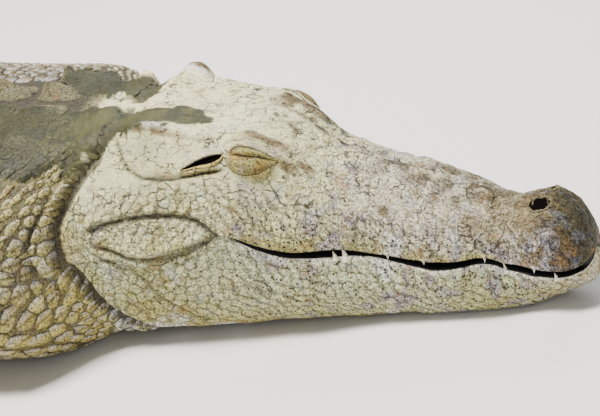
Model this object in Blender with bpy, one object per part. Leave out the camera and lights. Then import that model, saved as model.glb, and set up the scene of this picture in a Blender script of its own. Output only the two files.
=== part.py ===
"""A life-size Nile crocodile at rest on its belly, chin and throat on the ground.

Metres, +Z up, snout towards +X, left side towards +Y. The origin is on the ground under the middle of
the belly. The body is one surface, laid over a spine by cross-sections, and parted by thin flat cuts
into head, lower jaw, neck, trunk and four lengths of tail. Legs, feet, claws, eyes and ear flaps are
solids of their own that meet it with a thin gap.
"""
import bmesh
import bpy
import numpy as np
from mathutils import Vector

# Driving dimensions, in metres.
HEAD = 0.55             # skull, from the snout tip to the rear edge of the skull table
SKULL_X = 0.90          # place of that rear edge along the spine
JAW_END_X = 0.815       # where head and lower jaw end and the neck begins
SHOULDER_X = 0.53       # neck meets trunk
VENT_X = -0.68          # trunk meets tail
TAIL_END_X = -2.62      # tip of the tail, measured along the spine
TAIL_CUTS = (-1.14, -1.62, -2.10)
CUT = 0.0005            # half of the thin cut between two neighbouring solids
SCUTE_LENGTH = 0.0665   # one cross row of back shields
SCUTE_PITCH = 0.052     # sideways spacing of the back shields
WHORL_LENGTH = 0.0565   # one ring of scales of the tail
KEEL_HIGH = 0.011       # ridge of a back shield above the skin
CREST_HIGH = 0.046      # tallest upright scale of the tail crest
TAIL_SWING = (0.62, 1.25)   # first bend to the left and the later bend back, in radians

SKIN_COLOUR = (0.52, 0.51, 0.40, 1)
JAW_COLOUR = (0.50, 0.50, 0.39, 1)
CLAW_COLOUR = (0.10, 0.09, 0.07, 1)
EYE_COLOUR = (0.30, 0.26, 0.10, 1)


def clear_scene():
    for old in list(bpy.data.objects):
        bpy.data.objects.remove(old, do_unlink=True)


def finish_material(name, colour, roughness):
    material = bpy.data.materials.new(name)
    material.use_nodes = True
    shader = material.node_tree.nodes["Principled BSDF"]
    shader.inputs["Base Color"].default_value = colour
    shader.inputs["Roughness"].default_value = roughness
    shader.inputs["Metallic"].default_value = 0.0
    return material


# ---- lengthwise lines ---------------------------------------------------------------------------
# Each line gives one measure at a few places. Head lines are in skull lengths: 1 is the snout tip and
# 0 the rear edge of the skull table. Body lines are in metres, against the place along the spine.

CROWN = [(1, .165), (.985, .205), (.955, .243), (.92, .262), (.88, .260), (.83, .258), (.76, .280),
         (.66, .327), (.55, .365), (.45, .398), (.36, .444), (.28, .483), (.18, .509), (.08, .525),
         (0, .536), (-.05, .532), (-.3, .550)]
TABLE_HALF = [(1, .020), (.96, .050), (.90, .066), (.83, .055), (.74, .072), (.60, .080), (.45, .088),
              (.34, .100), (.255, .118), (.08, .138), (0, .150), (-.08, .155), (-.3, .190)]
TABLE_DROP = [(1, .020), (.8, .030), (.6, .035), (.4, .030), (.3, .012), (.18, .004), (0, .004),
              (-.1, .020), (-.3, .050)]
LIP_HALF = [(1, .030), (.985, .060), (.95, .093), (.90, .108), (.84, .096), (.79, .105), (.71, .138),
            (.62, .142), (.50, .150), (.40, .175), (.30, .205), (.20, .232), (.10, .252), (0, .268),
            (-.08, .275), (-.3, .280)]
LIP_HIGH = [(1, .102), (.95, .103), (.90, .113), (.86, .118), (.82, .128), (.785, .148), (.75, .157),
            (.70, .157), (.66, .158), (.56, .182), (.46, .206), (.38, .214), (.30, .239), (.20, .297),
            (.17, .300), (.10, .285), (0, .268), (-.3, .260)]
LIP_GAP = [(1, .016), (.34, .014), (.22, .003), (-.3, .003)]
CHEEK_SHARE = [(1, .80), (.8, .75), (.5, .62), (.25, .60), (.1, .55), (-.1, .70), (-.3, .80)]
JAW_HALF = [(1, .020), (.97, .055), (.92, .080), (.85, .090), (.75, .115), (.60, .135), (.45, .160),
            (.30, .195), (.15, .225), (0, .245), (-.3, .270)]
SOLE_HALF = [(1, .005), (.95, .030), (.85, .050), (.70, .070), (.50, .100), (.30, .130), (.10, .170),
             (-.15, .200), (-.3, .200)]
CHIN = [(1, .060), (.98, .045), (.95, .036), (.90, .018), (.84, .004), (.78, -.002), (.66, -.002),
        (.55, .006), (.40, .014), (.20, .022), (0, .032), (-.12, .036), (-.3, 0)]
# Local swellings: place, girth, their spread in each, and height, all in skull lengths but the girths.
SWELLS = ((.275, 5.85, .050, .50, .014), (.015, 5.95, .038, .42, .030), (.91, 7.0, .030, .60, .005),
          (.80, 7.6, .030, .90, -.006), (.14, 7.2, .060, .70, -.006))

BODY_HALF = [(1, .190), (.90, .215), (.80, .243), (.70, .264), (.56, .270), (.40, .274), (.15, .294),
             (-.10, .300), (-.35, .258), (-.55, .196), (-.75, .155), (-1.1, .120), (-1.5, .088),
             (-1.9, .058), (-2.25, .034), (-2.55, .015), (-2.62, .007)]
BODY_HIGH = [(1, .296), (.80, .300), (.70, .303), (.56, .312), (.40, .328), (.10, .348), (-.20, .340),
             (-.45, .310), (-.70, .262), (-1.1, .208), (-1.5, .162), (-1.9, .117), (-2.25, .073),
             (-2.55, .033), (-2.62, .016)]
WIDEST_SHARE = [(1, .45), (.5, .42), (0, .40), (-.6, .45), (-2.62, .50)]
BELLY_FLAT = [(1, .50), (.5, .55), (0, .62), (-.6, .50), (-1, .30), (-2.62, .30)]
SIDE_ANGLES = (-38, -12, 8, 30, 55, 75)
ROUNDNESS = 2.3                         # 2 is an ellipse; more is boxier


def smooth_step(low, high, value):
    share = np.clip((np.asarray(value, float) - low) / (high - low), 0, 1)
    return share * share * (3 - 2 * share)


def hump(value, centre, width):
    return np.exp(-((np.asarray(value, float) - centre) / width) ** 2)


def along(line, place):
    """The line's value at a place, on a smooth curve that never overshoots its stations."""
    at, value = np.array(sorted(line), float).T
    place = np.clip(np.asarray(place, float), at[0], at[-1])
    step = np.diff(at)
    slope = np.diff(value) / step
    same = slope[:-1] * slope[1:] > 0
    front, rear = 2 * step[1:] + step[:-1], step[1:] + 2 * step[:-1]
    before, after = np.where(same, slope[:-1], 1), np.where(same, slope[1:], 1)
    tangent = np.concatenate([slope[:1], np.where(same, (front + rear) / (front / before + rear / after), 0),
                              slope[-1:]])
    i = np.clip(np.searchsorted(at, place, "right") - 1, 0, len(at) - 2)
    t = (place - at[i]) / step[i]
    return ((1 + 2 * t) * (1 - t) ** 2 * value[i] + t * (1 - t) ** 2 * step[i] * tangent[i]
            + t * t * (3 - 2 * t) * value[i + 1] + t * t * (t - 1) * step[i] * tangent[i + 1])


# ---- cross-sections -----------------------------------------------------------------------------
# A half section has nine key points, from 0 at the middle of the belly to 8 at the middle of the back.
# On the head 3 is the lower lip, 4 the upper lip and 6 the edge of the skull table.

def head_section(h):
    crown, table, drop = along(CROWN, h), along(TABLE_HALF, h), along(TABLE_DROP, h)
    lip, lip_z, gap = along(LIP_HALF, h), along(LIP_HIGH, h), along(LIP_GAP, h)
    jaw, sole, chin = along(JAW_HALF, h), along(SOLE_HALF, h), along(CHIN, h)
    edge_z = crown - drop
    cheek = table + (lip - table) * along(CHEEK_SHARE, h)
    y = [0 * h, sole, jaw, lip * .985, lip, cheek, table, table * .5, 0 * h]
    z = [chin, chin, chin + (lip_z - chin) * .42, lip_z - gap / 2, lip_z + gap / 2,
         lip_z + (edge_z - lip_z) * .55, edge_z, crown - drop * .35, crown]
    return np.stack([np.stack(y, -1), np.stack(z, -1)], -1) * HEAD


def body_section(x):
    half, high = along(BODY_HALF, x), along(BODY_HIGH, x)
    widest, flat = high * along(WIDEST_SHARE, x), along(BELLY_FLAT, x)
    y, z = [0 * x, half * flat], [0 * x, 0 * x]
    for angle in np.radians(SIDE_ANGLES):
        out, up = abs(np.cos(angle)) ** (2 / ROUNDNESS), abs(np.sin(angle)) ** (2 / ROUNDNESS)
        y.append(half * out)
        z.append(widest + (high - widest) * up if angle > 0 else widest * (1 - up))
    return np.stack([np.stack(y + [0 * x], -1), np.stack(z + [high], -1)], -1)


def half_section(x):
    x = np.asarray(x, float)
    h = (x - SKULL_X) / HEAD
    share = smooth_step(-.36, -.16, h)[..., None, None]
    return head_section(h) * share + body_section(x) * (1 - share)


def swelling(x, girth):
    """How far the local swellings push the surface out at a place."""
    h = (x - SKULL_X) / HEAD
    return HEAD * sum(high * hump(h, place, spread) * hump(girth, level, width)
                      for place, level, spread, width, high in SWELLS)


def side_point(x, girth):
    """Sideways and upward place of the left flank at spine place x and girth 0 to 8."""
    key = half_section(x)
    mirror = np.array([-1, 1])
    key = np.concatenate([key[..., 1:2, :] * mirror, key, key[..., -2:-1, :] * mirror], -2)
    i = np.clip(np.floor(girth).astype(int), 0, 7)
    f = (girth - i)[..., None]
    a, b, c, d = (np.take_along_axis(key, (i + k)[..., None, None] * np.ones(2, int), -2)[..., 0, :]
                  for k in range(4))
    square, cube = 2 * a - 5 * b + 4 * c - d, 3 * (b - c) + d - a
    place = b + .5 * f * (c - a + f * (square + f * cube))
    slope = c - a + f * (2 * square + f * 3 * cube)
    outward = np.stack([slope[..., 1], -slope[..., 0]], -1)
    outward /= np.maximum(np.linalg.norm(outward, axis=-1, keepdims=True), 1e-9)
    place = place + outward * swelling(x, girth)[..., None]
    y = np.where((girth <= 0) | (girth >= 8), 0, np.maximum(place[..., 0], 0))
    return y, np.maximum(place[..., 1], 0)


# ---- the spine ----------------------------------------------------------------------------------

def spine_table(steps=400):
    """Places along the spine with their x, y and heading. It is straight as far back as the vent."""
    s = np.linspace(VENT_X, TAIL_END_X - .05, steps)
    share = (VENT_X - s) / (VENT_X - TAIL_END_X)
    heading = TAIL_SWING[0] * smooth_step(0, .5, share) - TAIL_SWING[1] * smooth_step(.42, 1.05, share)
    step = np.gradient(s)
    return (s, VENT_X + np.cumsum(np.cos(heading) * step), np.cumsum(-np.sin(heading) * step), heading)


SPINE = spine_table()


def to_world(x, y, z):
    """A point given by its place along the spine, its offset to the left and its height."""
    s, line_x, line_y, heading = (part[::-1] for part in SPINE)
    x, y, z = np.broadcast_arrays(np.asarray(x, float), y, z)
    bent = x < VENT_X
    angle = np.where(bent, np.interp(x, s, heading), 0)
    base_x = np.where(bent, np.interp(x, s, line_x), x)
    base_y = np.where(bent, np.interp(x, s, line_y), 0)
    return np.stack([base_x + y * np.sin(angle), base_y + y * np.cos(angle), z], -1)


# ---- solids -------------------------------------------------------------------------------------

def loft(name, rings, material):
    """One closed solid over rings of points: a grid wrapped round, its seam merged and its ends filled."""
    rows, columns = rings.shape[:2]
    bm = bmesh.new()
    bmesh.ops.create_grid(bm, x_segments=columns, y_segments=rows - 1, size=1)
    for vert in bm.verts:
        column = round((vert.co.x + 1) / 2 * columns) % columns
        row = round((vert.co.y + 1) / 2 * (rows - 1))
        vert.co = Vector(rings[row, column])
    bmesh.ops.remove_doubles(bm, verts=bm.verts, dist=1e-6)
    bmesh.ops.holes_fill(bm, edges=bm.edges, sides=columns)
    bmesh.ops.recalc_face_normals(bm, faces=bm.faces)
    mesh = bpy.data.meshes.new(name)
    bm.to_mesh(mesh)
    bm.free()
    mesh.materials.append(material)
    mesh.shade_smooth()
    mesh.set_sharp_from_angle(angle=np.radians(50))
    made = bpy.data.objects.new(name, mesh)
    bpy.context.scene.collection.objects.link(made)
    return made


def boolean(target, other, operation):
    step = target.modifiers.new(operation.lower(), "BOOLEAN")
    step.object, step.operation, step.solver = other, operation, "EXACT"
    other.hide_render = True
    other.display_type = "WIRE"


def body_ring(x, girths):
    """Both sides of the body at spine place x, as one closed ring in world space."""
    y, z = side_point(np.full(len(girths), float(x)), np.asarray(girths, float))
    inner = [i for i in range(len(y)) if 0 < girths[i] < 8]
    y = np.concatenate([y, -y[inner][::-1]])
    z = np.concatenate([z, z[inner][::-1]])
    return to_world(x, y, z)


def between(start, end, count):
    return np.linspace(start - CUT, end + CUT, count)


# Head and jaw ------------------------------------------------------------------------------------

UPPER_GIRTHS = (4, 4.3, 4.7, 5.1, 5.4, 5.65, 5.9, 6.2, 6.6, 7.2, 8)
LOWER_GIRTHS = (0, .6, 1, 1.5, 2, 2.5, 3)
TIP_X = SKULL_X + HEAD
HEAD_PLACES = (.9999, .990, .970, .945, .91, .88, .85, .82, .785, .75, .70, .64, .58, .52, .46, .40,
               .35, .31, .275, .24, .20, .15, .10, .05, .015, -.03, -.08)
TOOTH_PLACES_LOWER = (.93, .80, .445, .37)
TOOTH_PLACES_UPPER = (.96, .62, .50)
TOOTH_HIGH, TOOTH_RADIUS = .0072, .0032
EYE_PLACE, EYE_GIRTH = .282, 5.56
EYE_SIZE = (.031, .016, .017)           # half length, half depth and half height
EAR_PLACE, EAR_GIRTH = .150, 5.40       # middle of the slit below the ear flap
EAR_SIZE = (.036, .007, .0025)
EAR_SLOPE = .30                         # radians that the slit drops towards the neck
NOSTRIL_PLACE, NOSTRIL_GIRTH = .91, 7.0
NOSTRIL_SIZE = (.010, .008, .006)


def head_ring(x, girths, roof_share):
    """A ring of the head above the upper lip, or of the jaw below the lower lip.

    The mouth side closes it: it bows away from the gap by roof_share of the lip height.
    """
    y, z = side_point(np.full(len(girths), float(x)), np.asarray(girths, float))
    lip = len(y) - 1 if roof_share < 0 else 0
    roof = z[lip] + roof_share * HEAD
    inner = [i for i in range(len(y)) if 0 < girths[i] < 8]
    across = np.array([.55, 0, -.55]) * y[lip]
    heights = np.array([.7 * roof + .3 * z[lip], roof, .7 * roof + .3 * z[lip]])
    left, right = list(zip(y, z)), [(-y[i], z[i]) for i in inner]
    bridge = list(zip(across, heights))
    ring = left + right[::-1] + bridge[::-1] if lip == 0 else left + bridge + right[::-1]
    return to_world(x, *np.array(ring).T)


def head_rings(girths, roof_share):
    places = SKULL_X + np.array(HEAD_PLACES) * HEAD
    places = np.append(places, JAW_END_X + CUT)
    return np.array([head_ring(x, girths, roof_share) for x in places])


def surface_frame(place, girth, side):
    """Point and outward direction of the head surface, on the left (1) or right (-1)."""
    def at(h, g):
        x = np.array([SKULL_X + h * HEAD])
        y, z = side_point(x, np.array([g]))
        return Vector((x[0], y[0] * side, z[0]))
    centre = at(place, girth)
    lengthwise = at(place + .02, girth) - at(place - .02, girth)
    upward = at(place, girth + .1) - at(place, girth - .1)
    outward = lengthwise.cross(upward).normalized() * side * -1
    return centre, lengthwise.normalized(), outward if outward.y * side > 0 else -outward


def pebble(name, place, girth, side, size, sink, material, segments=12, slope=0.0):
    """An ellipsoid set into the head surface: its long axis runs along the head, down by slope."""
    centre, lengthwise, outward = surface_frame(place, girth, side)
    upward = outward.cross(lengthwise).normalized()
    upward = upward if upward.z > 0 else -upward
    lengthwise, upward = (lengthwise * np.cos(slope) + upward * np.sin(slope),
                          upward * np.cos(slope) - lengthwise * np.sin(slope))
    bpy.ops.mesh.primitive_uv_sphere_add(segments=segments, ring_count=segments // 2 + 1, radius=1)
    made = bpy.context.object
    made.name = made.data.name = name
    for vert in made.data.vertices:
        x, y, z = vert.co
        vert.co = (centre - outward * sink + lengthwise * (x * size[0]) + outward * (y * size[1])
                   + upward * (z * size[2]))
    made.data.materials.append(material)
    made.data.shade_smooth()
    bm = bmesh.new()
    bm.from_mesh(made.data)
    bmesh.ops.recalc_face_normals(bm, faces=bm.faces)
    bm.to_mesh(made.data)
    bm.free()
    return made


def tooth(name, place, side, up):
    """A small cone that stands in the gap of the mouth, its root inside the jaw that carries it."""
    x = SKULL_X + place * HEAD
    girth = 3. if up else 4.
    y, z = side_point(np.array([x]), np.array([girth]))
    root = z[0] - TOOTH_HIGH * .6 if up else z[0] + TOOTH_HIGH * .6
    turn = (0, 0, 0) if up else (np.pi, 0, 0)
    bpy.ops.mesh.primitive_cone_add(vertices=6, radius1=TOOTH_RADIUS, radius2=TOOTH_RADIUS * .25,
                                    depth=TOOTH_HIGH * 1.5, rotation=turn,
                                    location=(x, side * (y[0] - TOOTH_RADIUS * 2.2),
                                              root + (TOOTH_HIGH * .75 if up else -TOOTH_HIGH * .75)))
    made = bpy.context.object
    made.name = name
    return made


def grown(size, by):
    return tuple(part + by for part in size)


def make_head(skin, eye_finish):
    head = loft("head", head_rings(UPPER_GIRTHS, .012), skin)
    jaw = loft("lower_jaw", head_rings(LOWER_GIRTHS, -.012), skin)
    for side, word in ((1, "left"), (-1, "right")):
        pebble(f"eye_{word}", EYE_PLACE, EYE_GIRTH, side, EYE_SIZE, EYE_SIZE[1] * .62, eye_finish)
        hollows = (("socket", EYE_PLACE, EYE_GIRTH, grown(EYE_SIZE, .0006), EYE_SIZE[1] * .62, 12, 0),
                   ("ear_slit", EAR_PLACE, EAR_GIRTH, EAR_SIZE, .002, 8, EAR_SLOPE),
                   ("nostril", NOSTRIL_PLACE, NOSTRIL_GIRTH, NOSTRIL_SIZE, .001, 8, 0))
        for what, place, girth, size, sink, segments, slope in hollows:
            hollow = pebble(f"cut_{what}_{word}", place, girth, side, size, sink, skin, segments, slope)
            boolean(head, hollow, "DIFFERENCE")
        for place in TOOTH_PLACES_LOWER:
            boolean(jaw, tooth(f"tooth_low_{word}_{place}", place, side, True), "UNION")
        for place in TOOTH_PLACES_UPPER:
            boolean(head, tooth(f"tooth_up_{word}_{place}", place, side, False), "UNION")
    return head, jaw


# Neck, trunk and tail ----------------------------------------------------------------------------

NECK_GIRTHS = (0, 1, 1.5, 2, 3, 4, 5, 6, 6.6, 7.3, 8)
SIDE_GIRTHS = (0, 1, 1.6, 2.2, 3, 4, 5, 5.7)
KEELS_ACROSS = 3                        # keels on each side of the middle of the back
KEEL_PEAK = .62                         # where the ridge peaks along its shield, from its rear end


def back_points(x, ridge):
    """Left half of the back: valleys and keels by turns, from the outermost to the middle."""
    half, high = along(BODY_HALF, x), along(BODY_HIGH, x)
    widest = high * along(WIDEST_SHARE, x)
    y = np.arange(2 * KEELS_ACROSS, -1, -1) * SCUTE_PITCH / 2
    y = y * min(1, half * .62 / y[0])
    z = widest + (high - widest) * (1 - (y / half) ** ROUNDNESS) ** (1 / ROUNDNESS)
    z[1::2] += ridge
    return y, z


def trunk_ring(x, ridge):
    y, z = side_point(np.full(len(SIDE_GIRTHS), float(x)), np.array(SIDE_GIRTHS, float))
    back_y, back_z = back_points(x, ridge)
    y, z = np.append(y, back_y), np.append(z, back_z)
    y, z = np.append(y, -y[1:-1][::-1]), np.append(z, z[1:-1][::-1])
    return to_world(x, y, z)


def make_trunk(skin):
    count = round((SHOULDER_X - VENT_X) / SCUTE_LENGTH)
    length = (SHOULDER_X - VENT_X - 2 * CUT) / count
    rings = []
    for i in range(count):
        front = SHOULDER_X - CUT - i * length
        rings.append(trunk_ring(front, 0))
        rings.append(trunk_ring(front - KEEL_PEAK * length, KEEL_HIGH))
    rings.append(trunk_ring(VENT_X + CUT, 0))
    return loft("trunk", np.array(rings), skin)


def make_neck(skin):
    places = between(JAW_END_X, SHOULDER_X, 9)
    return loft("neck", np.array([body_ring(x, NECK_GIRTHS) for x in places]), skin)


CREST_LINE = [(VENT_X, .25), (-.8, .55), (-1.1, .80), (-1.5, 1), (-2.0, .85), (-2.4, .55), (-2.62, .2)]
CREST_APART = [(VENT_X, .060), (-.9, .052), (-1.3, .030), (-1.5, .012), (-1.58, .0012), (-2.62, .0012)]
CREST_BASE = [(VENT_X, .009), (-1.6, .006), (-2.62, .0025)]


def tail_ring(x, rise):
    """A tail ring whose top carries the crest: two ridges near the hips that run into one."""
    y, z = side_point(np.full(5, float(x)), np.array([0, 1, 2.2, 3.5, 5.2]))
    high = along(BODY_HIGH, x)
    apart, base = along(CREST_APART, x), along(CREST_BASE, x)
    tall = rise * CREST_HIGH * along(CREST_LINE, x)
    merged = smooth_step(-1.40, -1.58, x)
    top_y = np.array([apart + base, apart, max(apart - base, apart * .45), 0])
    top_z = high + np.array([-.006 - .10 * apart, tall, tall * merged, tall * merged])
    y, z = np.append(y, top_y), np.append(z, top_z)
    y, z = np.append(y, -y[1:-1][::-1]), np.append(z, z[1:-1][::-1])
    return to_world(x, y, z)


def make_tail(skin):
    ends = (VENT_X, *TAIL_CUTS, TAIL_END_X)
    names = ("tail_base", "tail_middle", "tail_rear", "tail_tip")
    for name, front, rear in zip(names, ends[:-1], ends[1:]):
        start, stop = front - CUT, rear + (CUT if rear != TAIL_END_X else 0)
        count = round((start - stop) / WHORL_LENGTH)
        length = (start - stop) / count
        rings = []
        for i in range(count):
            rings.append(tail_ring(start - i * length, .12))
            rings.append(tail_ring(start - (i + .80) * length, 1))
        rings.append(tail_ring(stop, .12))
        loft(name, np.array(rings), skin)


# Legs --------------------------------------------------------------------------------------------
# A leg is a path of joints with a radius at each; feet are a palm and toes on the ground.

def tube_rings(points, radii, sides, heights=None, ground=0.0):
    """Rings round a path, no point below the ground. heights are half heights where not the radii."""
    points = [Vector(p) for p in points]
    rings = []
    for i, (centre, radius, height) in enumerate(zip(points, radii, radii if heights is None else heights)):
        along_path = (points[min(i + 1, len(points) - 1)] - points[max(i - 1, 0)]).normalized()
        across = along_path.cross(Vector((0, 0, 1)))
        across = across.normalized() if across.length > .05 else Vector((0, 1, 0))
        upward = across.cross(along_path).normalized()
        ring = []
        for turn in np.linspace(0, 2 * np.pi, sides, endpoint=False):
            point = centre + across * (np.cos(turn) * radius) + upward * (np.sin(turn) * height)
            point.z = max(point.z, ground)
            ring.append(point)
        rings.append(ring)
    return np.array(rings)


def curve_through(joints, radii, count):
    """Points and radii spaced evenly on a smooth curve through the joints."""
    joints, radii = np.array(joints, float), np.array(radii, float)
    lengths = np.append(0, np.cumsum(np.linalg.norm(np.diff(joints, axis=0), axis=1)))
    at = np.linspace(0, lengths[-1], count)
    point = np.stack([along(list(zip(lengths, joints[:, k])), at) for k in range(3)], -1)
    return point, along(list(zip(lengths, radii)), at)


FRONT_LEG = {
    "joints": ((.40, .13, .145), (.345, .245, .122), (.265, .350, .092), (.245, .398, .074),
               (.300, .428, .058), (.385, .445, .037), (.430, .455, .026)),
    "radii": (.090, .080, .064, .057, .051, .035, .026),
}
HIND_LEG = {
    "joints": ((-.50, .09, .135), (-.42, .210, .128), (-.330, .340, .104), (-.325, .405, .084),
               (-.400, .448, .066), (-.490, .470, .046), (-.530, .485, .034)),
    "radii": (.118, .108, .084, .074, .064, .045, .034),
}
FRONT_FOOT = {"palm": .060, "heel": .12, "width": .040, "thick": .018, "heading": 12,
              "spread": (-48, -22, 2, 27, 56), "lengths": (.066, .080, .086, .076, .058), "radius": .0115, "clawed": 3}
HIND_FOOT = {"palm": .108, "heel": .45, "width": .050, "thick": .021, "heading": 40,
             "spread": (-32, -9, 12, 38), "lengths": (.090, .112, .118, .090), "radius": .0150, "clawed": 3}
CLAW_LENGTH = .030
LEG_RINGS, LEG_SPLIT, LEG_SIDES = 8, 4, 12     # the leg parts at its elbow or knee


def mirrored(points, side, shift=(0, 0)):
    return [(p[0] + shift[0] * i / 3, side * (p[1] + shift[1] * i / 3), p[2]) for i, p in enumerate(points)]


def make_leg(name, leg, foot, side, shift, body, skin, claw_finish):
    """Upper and lower leg, foot and claws. The upper leg is cut back from the body it grows out of."""
    joints = mirrored(leg["joints"], side, shift)
    path = curve_through(joints, leg["radii"], LEG_RINGS)
    rings = tube_rings(*path, LEG_SIDES, ground=.002)
    inset = np.array((Vector(path[0][LEG_SPLIT + 1]) - Vector(path[0][LEG_SPLIT])).normalized()) * CUT
    upper, lower = rings[:LEG_SPLIT + 1].copy(), rings[LEG_SPLIT:].copy()
    upper[-1] -= inset
    lower[0] += inset
    thigh = loft(f"{name}_upper", upper, skin)
    boolean(thigh, body, "DIFFERENCE")
    shank = loft(f"{name}_lower", lower, skin)
    palm = make_foot(name, foot, Vector(joints[-1]), side, skin, claw_finish)
    boolean(shank, swollen_copy(palm, CUT * 4), "DIFFERENCE")


def swollen_copy(solid, by):
    """A hidden copy of a solid, larger all round, to cut its neighbours with."""
    thick = bpy.data.objects.new(f"cut_{solid.name}", solid.data.copy())
    bpy.context.scene.collection.objects.link(thick)
    for step in solid.modifiers:
        boolean(thick, step.object, step.operation)
    swell = thick.modifiers.new("swell", "DISPLACE")
    swell.strength, swell.mid_level = by, 0
    return thick


def squared(ring, seat, direction):
    """The ring pressed flat onto the plane through seat that faces along direction."""
    return [Vector(point) - direction * (Vector(point) - seat).dot(direction) for point in ring]


def make_foot(name, foot, wrist, side, skin, claw_finish):
    """A palm from the heel to the knuckles, with the toes joined to it and the claws on their ends."""
    heading = np.radians(foot["heading"]) * side
    forward = Vector((np.cos(heading), np.sin(heading), 0))
    thick, width, palm_length = foot["thick"], foot["width"], foot["palm"]
    shares = np.array([-foot["heel"], -foot["heel"] / 3, .15, .55, 1, 1.12])
    halves = width * np.array([.45, .86, .92, .95, 1.10, .75])
    heights = np.array([thick * .7, wrist.z * 1.1, wrist.z, thick * 1.1, thick, thick * .6])
    path = [Vector((wrist.x, wrist.y, 0)) + forward * (palm_length * share) for share in shares]
    for point, height in zip(path, heights):
        point.z = height * .9
    knuckle = path[4]
    foot_solid = loft(f"{name}_foot", tube_rings(path, halves, LEG_SIDES, heights), skin)
    count = len(foot["spread"])
    for i, (spread, length) in enumerate(zip(foot["spread"], foot["lengths"])):
        turn = heading + np.radians(spread) * side
        direction = Vector((np.cos(turn), np.sin(turn), 0))
        sideways = Vector((-forward.y, forward.x, 0)) * side
        root = knuckle + sideways * (width * .80 * (2 * i / (count - 1) - 1)) - direction * .012
        radius = foot["radius"] * (1 if i else 1.15)
        shares, swell = (0, .35, .7, 1), (1.1, 1, .95, .72)
        path = [root + direction * (length * share) for share in shares]
        for point, share in zip(path, shares):
            point.z = radius * (1.25 - .45 * share)
        rings = tube_rings(path, [radius * part for part in swell], 8, ground=0)
        rings[-1] = squared(rings[-1], path[-1], direction)
        toe = loft(f"cut_{name}_toe_{i}", rings, skin)
        boolean(foot_solid, toe, "UNION")
        if i < foot["clawed"]:
            make_claw(f"{name}_claw_{i + 1}", path[-1], direction, radius * swell[-1], claw_finish)
    return foot_solid


def make_claw(name, seat, direction, radius, finish):
    """A claw on the flat end of a toe: it curves down and stops just above the ground."""
    shares = np.array([0, .35, .7, 1])
    path = [seat + direction * (CUT * 1.2 + CLAW_LENGTH * share) for share in shares]
    for point, share in zip(path, shares):
        point.z = seat.z + .003 * np.sin(np.pi * share) - (seat.z - .004) * share ** 2
    rings = tube_rings(path, radius * np.array([.86, .70, .42, .12]), 6, ground=.0005)
    rings[0] = squared(rings[0], path[0], direction)
    loft(name, rings, finish)


def make_legs(trunk, skin, claw_finish):
    """Four legs cut back by a slightly thicker copy of the trunk."""
    thick = swollen_copy(trunk, CUT * 2)
    for side, word in ((1, "left"), (-1, "right")):
        shift = (0, 0) if side < 0 else (.02, .006)
        make_leg(f"front_{word}", FRONT_LEG, FRONT_FOOT, side, shift, thick, skin, claw_finish)
        make_leg(f"hind_{word}", HIND_LEG, HIND_FOOT, side, shift, thick, skin, claw_finish)


def main():
    clear_scene()
    skin = finish_material("scaly_skin", SKIN_COLOUR, .7)
    eye_finish = finish_material("eye", EYE_COLOUR, .15)
    claw_finish = finish_material("claw", CLAW_COLOUR, .4)
    make_head(skin, eye_finish)
    make_neck(skin)
    trunk = make_trunk(skin)
    make_tail(skin)
    make_legs(trunk, skin, claw_finish)


main()
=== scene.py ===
"""The looks of a life-size Nile crocodile at rest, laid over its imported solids."""

import bpy
import numpy as np
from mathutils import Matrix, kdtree


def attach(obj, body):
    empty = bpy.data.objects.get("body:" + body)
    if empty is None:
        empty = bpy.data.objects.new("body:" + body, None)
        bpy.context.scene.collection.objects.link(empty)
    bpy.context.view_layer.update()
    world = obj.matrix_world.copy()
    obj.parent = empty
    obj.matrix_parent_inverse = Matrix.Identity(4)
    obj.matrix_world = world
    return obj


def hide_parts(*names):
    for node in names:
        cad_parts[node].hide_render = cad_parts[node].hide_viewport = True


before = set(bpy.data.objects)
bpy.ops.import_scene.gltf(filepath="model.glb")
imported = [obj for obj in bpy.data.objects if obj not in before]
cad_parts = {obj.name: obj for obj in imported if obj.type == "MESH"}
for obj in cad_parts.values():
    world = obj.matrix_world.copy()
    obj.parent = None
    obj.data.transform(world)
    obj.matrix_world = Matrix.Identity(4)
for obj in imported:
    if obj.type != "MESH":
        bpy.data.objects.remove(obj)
bpy.ops.object.select_all(action="DESELECT")
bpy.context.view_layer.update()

# ================================================================================================
# Hide: one closed skin over the whole animal. It is soft leather stretched over a bony skull in
# front and loose over neck, belly and tail behind. Its lines are those that the solids follow, and
# it lies inside them by the thickness of the scales. Every place on it is (spine, girth): metres
# along the back bone, and 0 at the middle of the belly to 8 at the middle of the back.
# ================================================================================================
HEAD = 0.55             # skull, from the snout tip to the rear edge of the skull table
SKULL_X = 0.90          # place of that rear edge along the spine
TIP_X = SKULL_X + HEAD
SHOULDER_X = 0.53
VENT_X = -0.68
TAIL_END_X = -2.62
TAIL_SWING = (0.62, 1.25)
SCALE_DEPTH = 0.0045    # thickness of the scales of neck, trunk and tail

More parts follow.
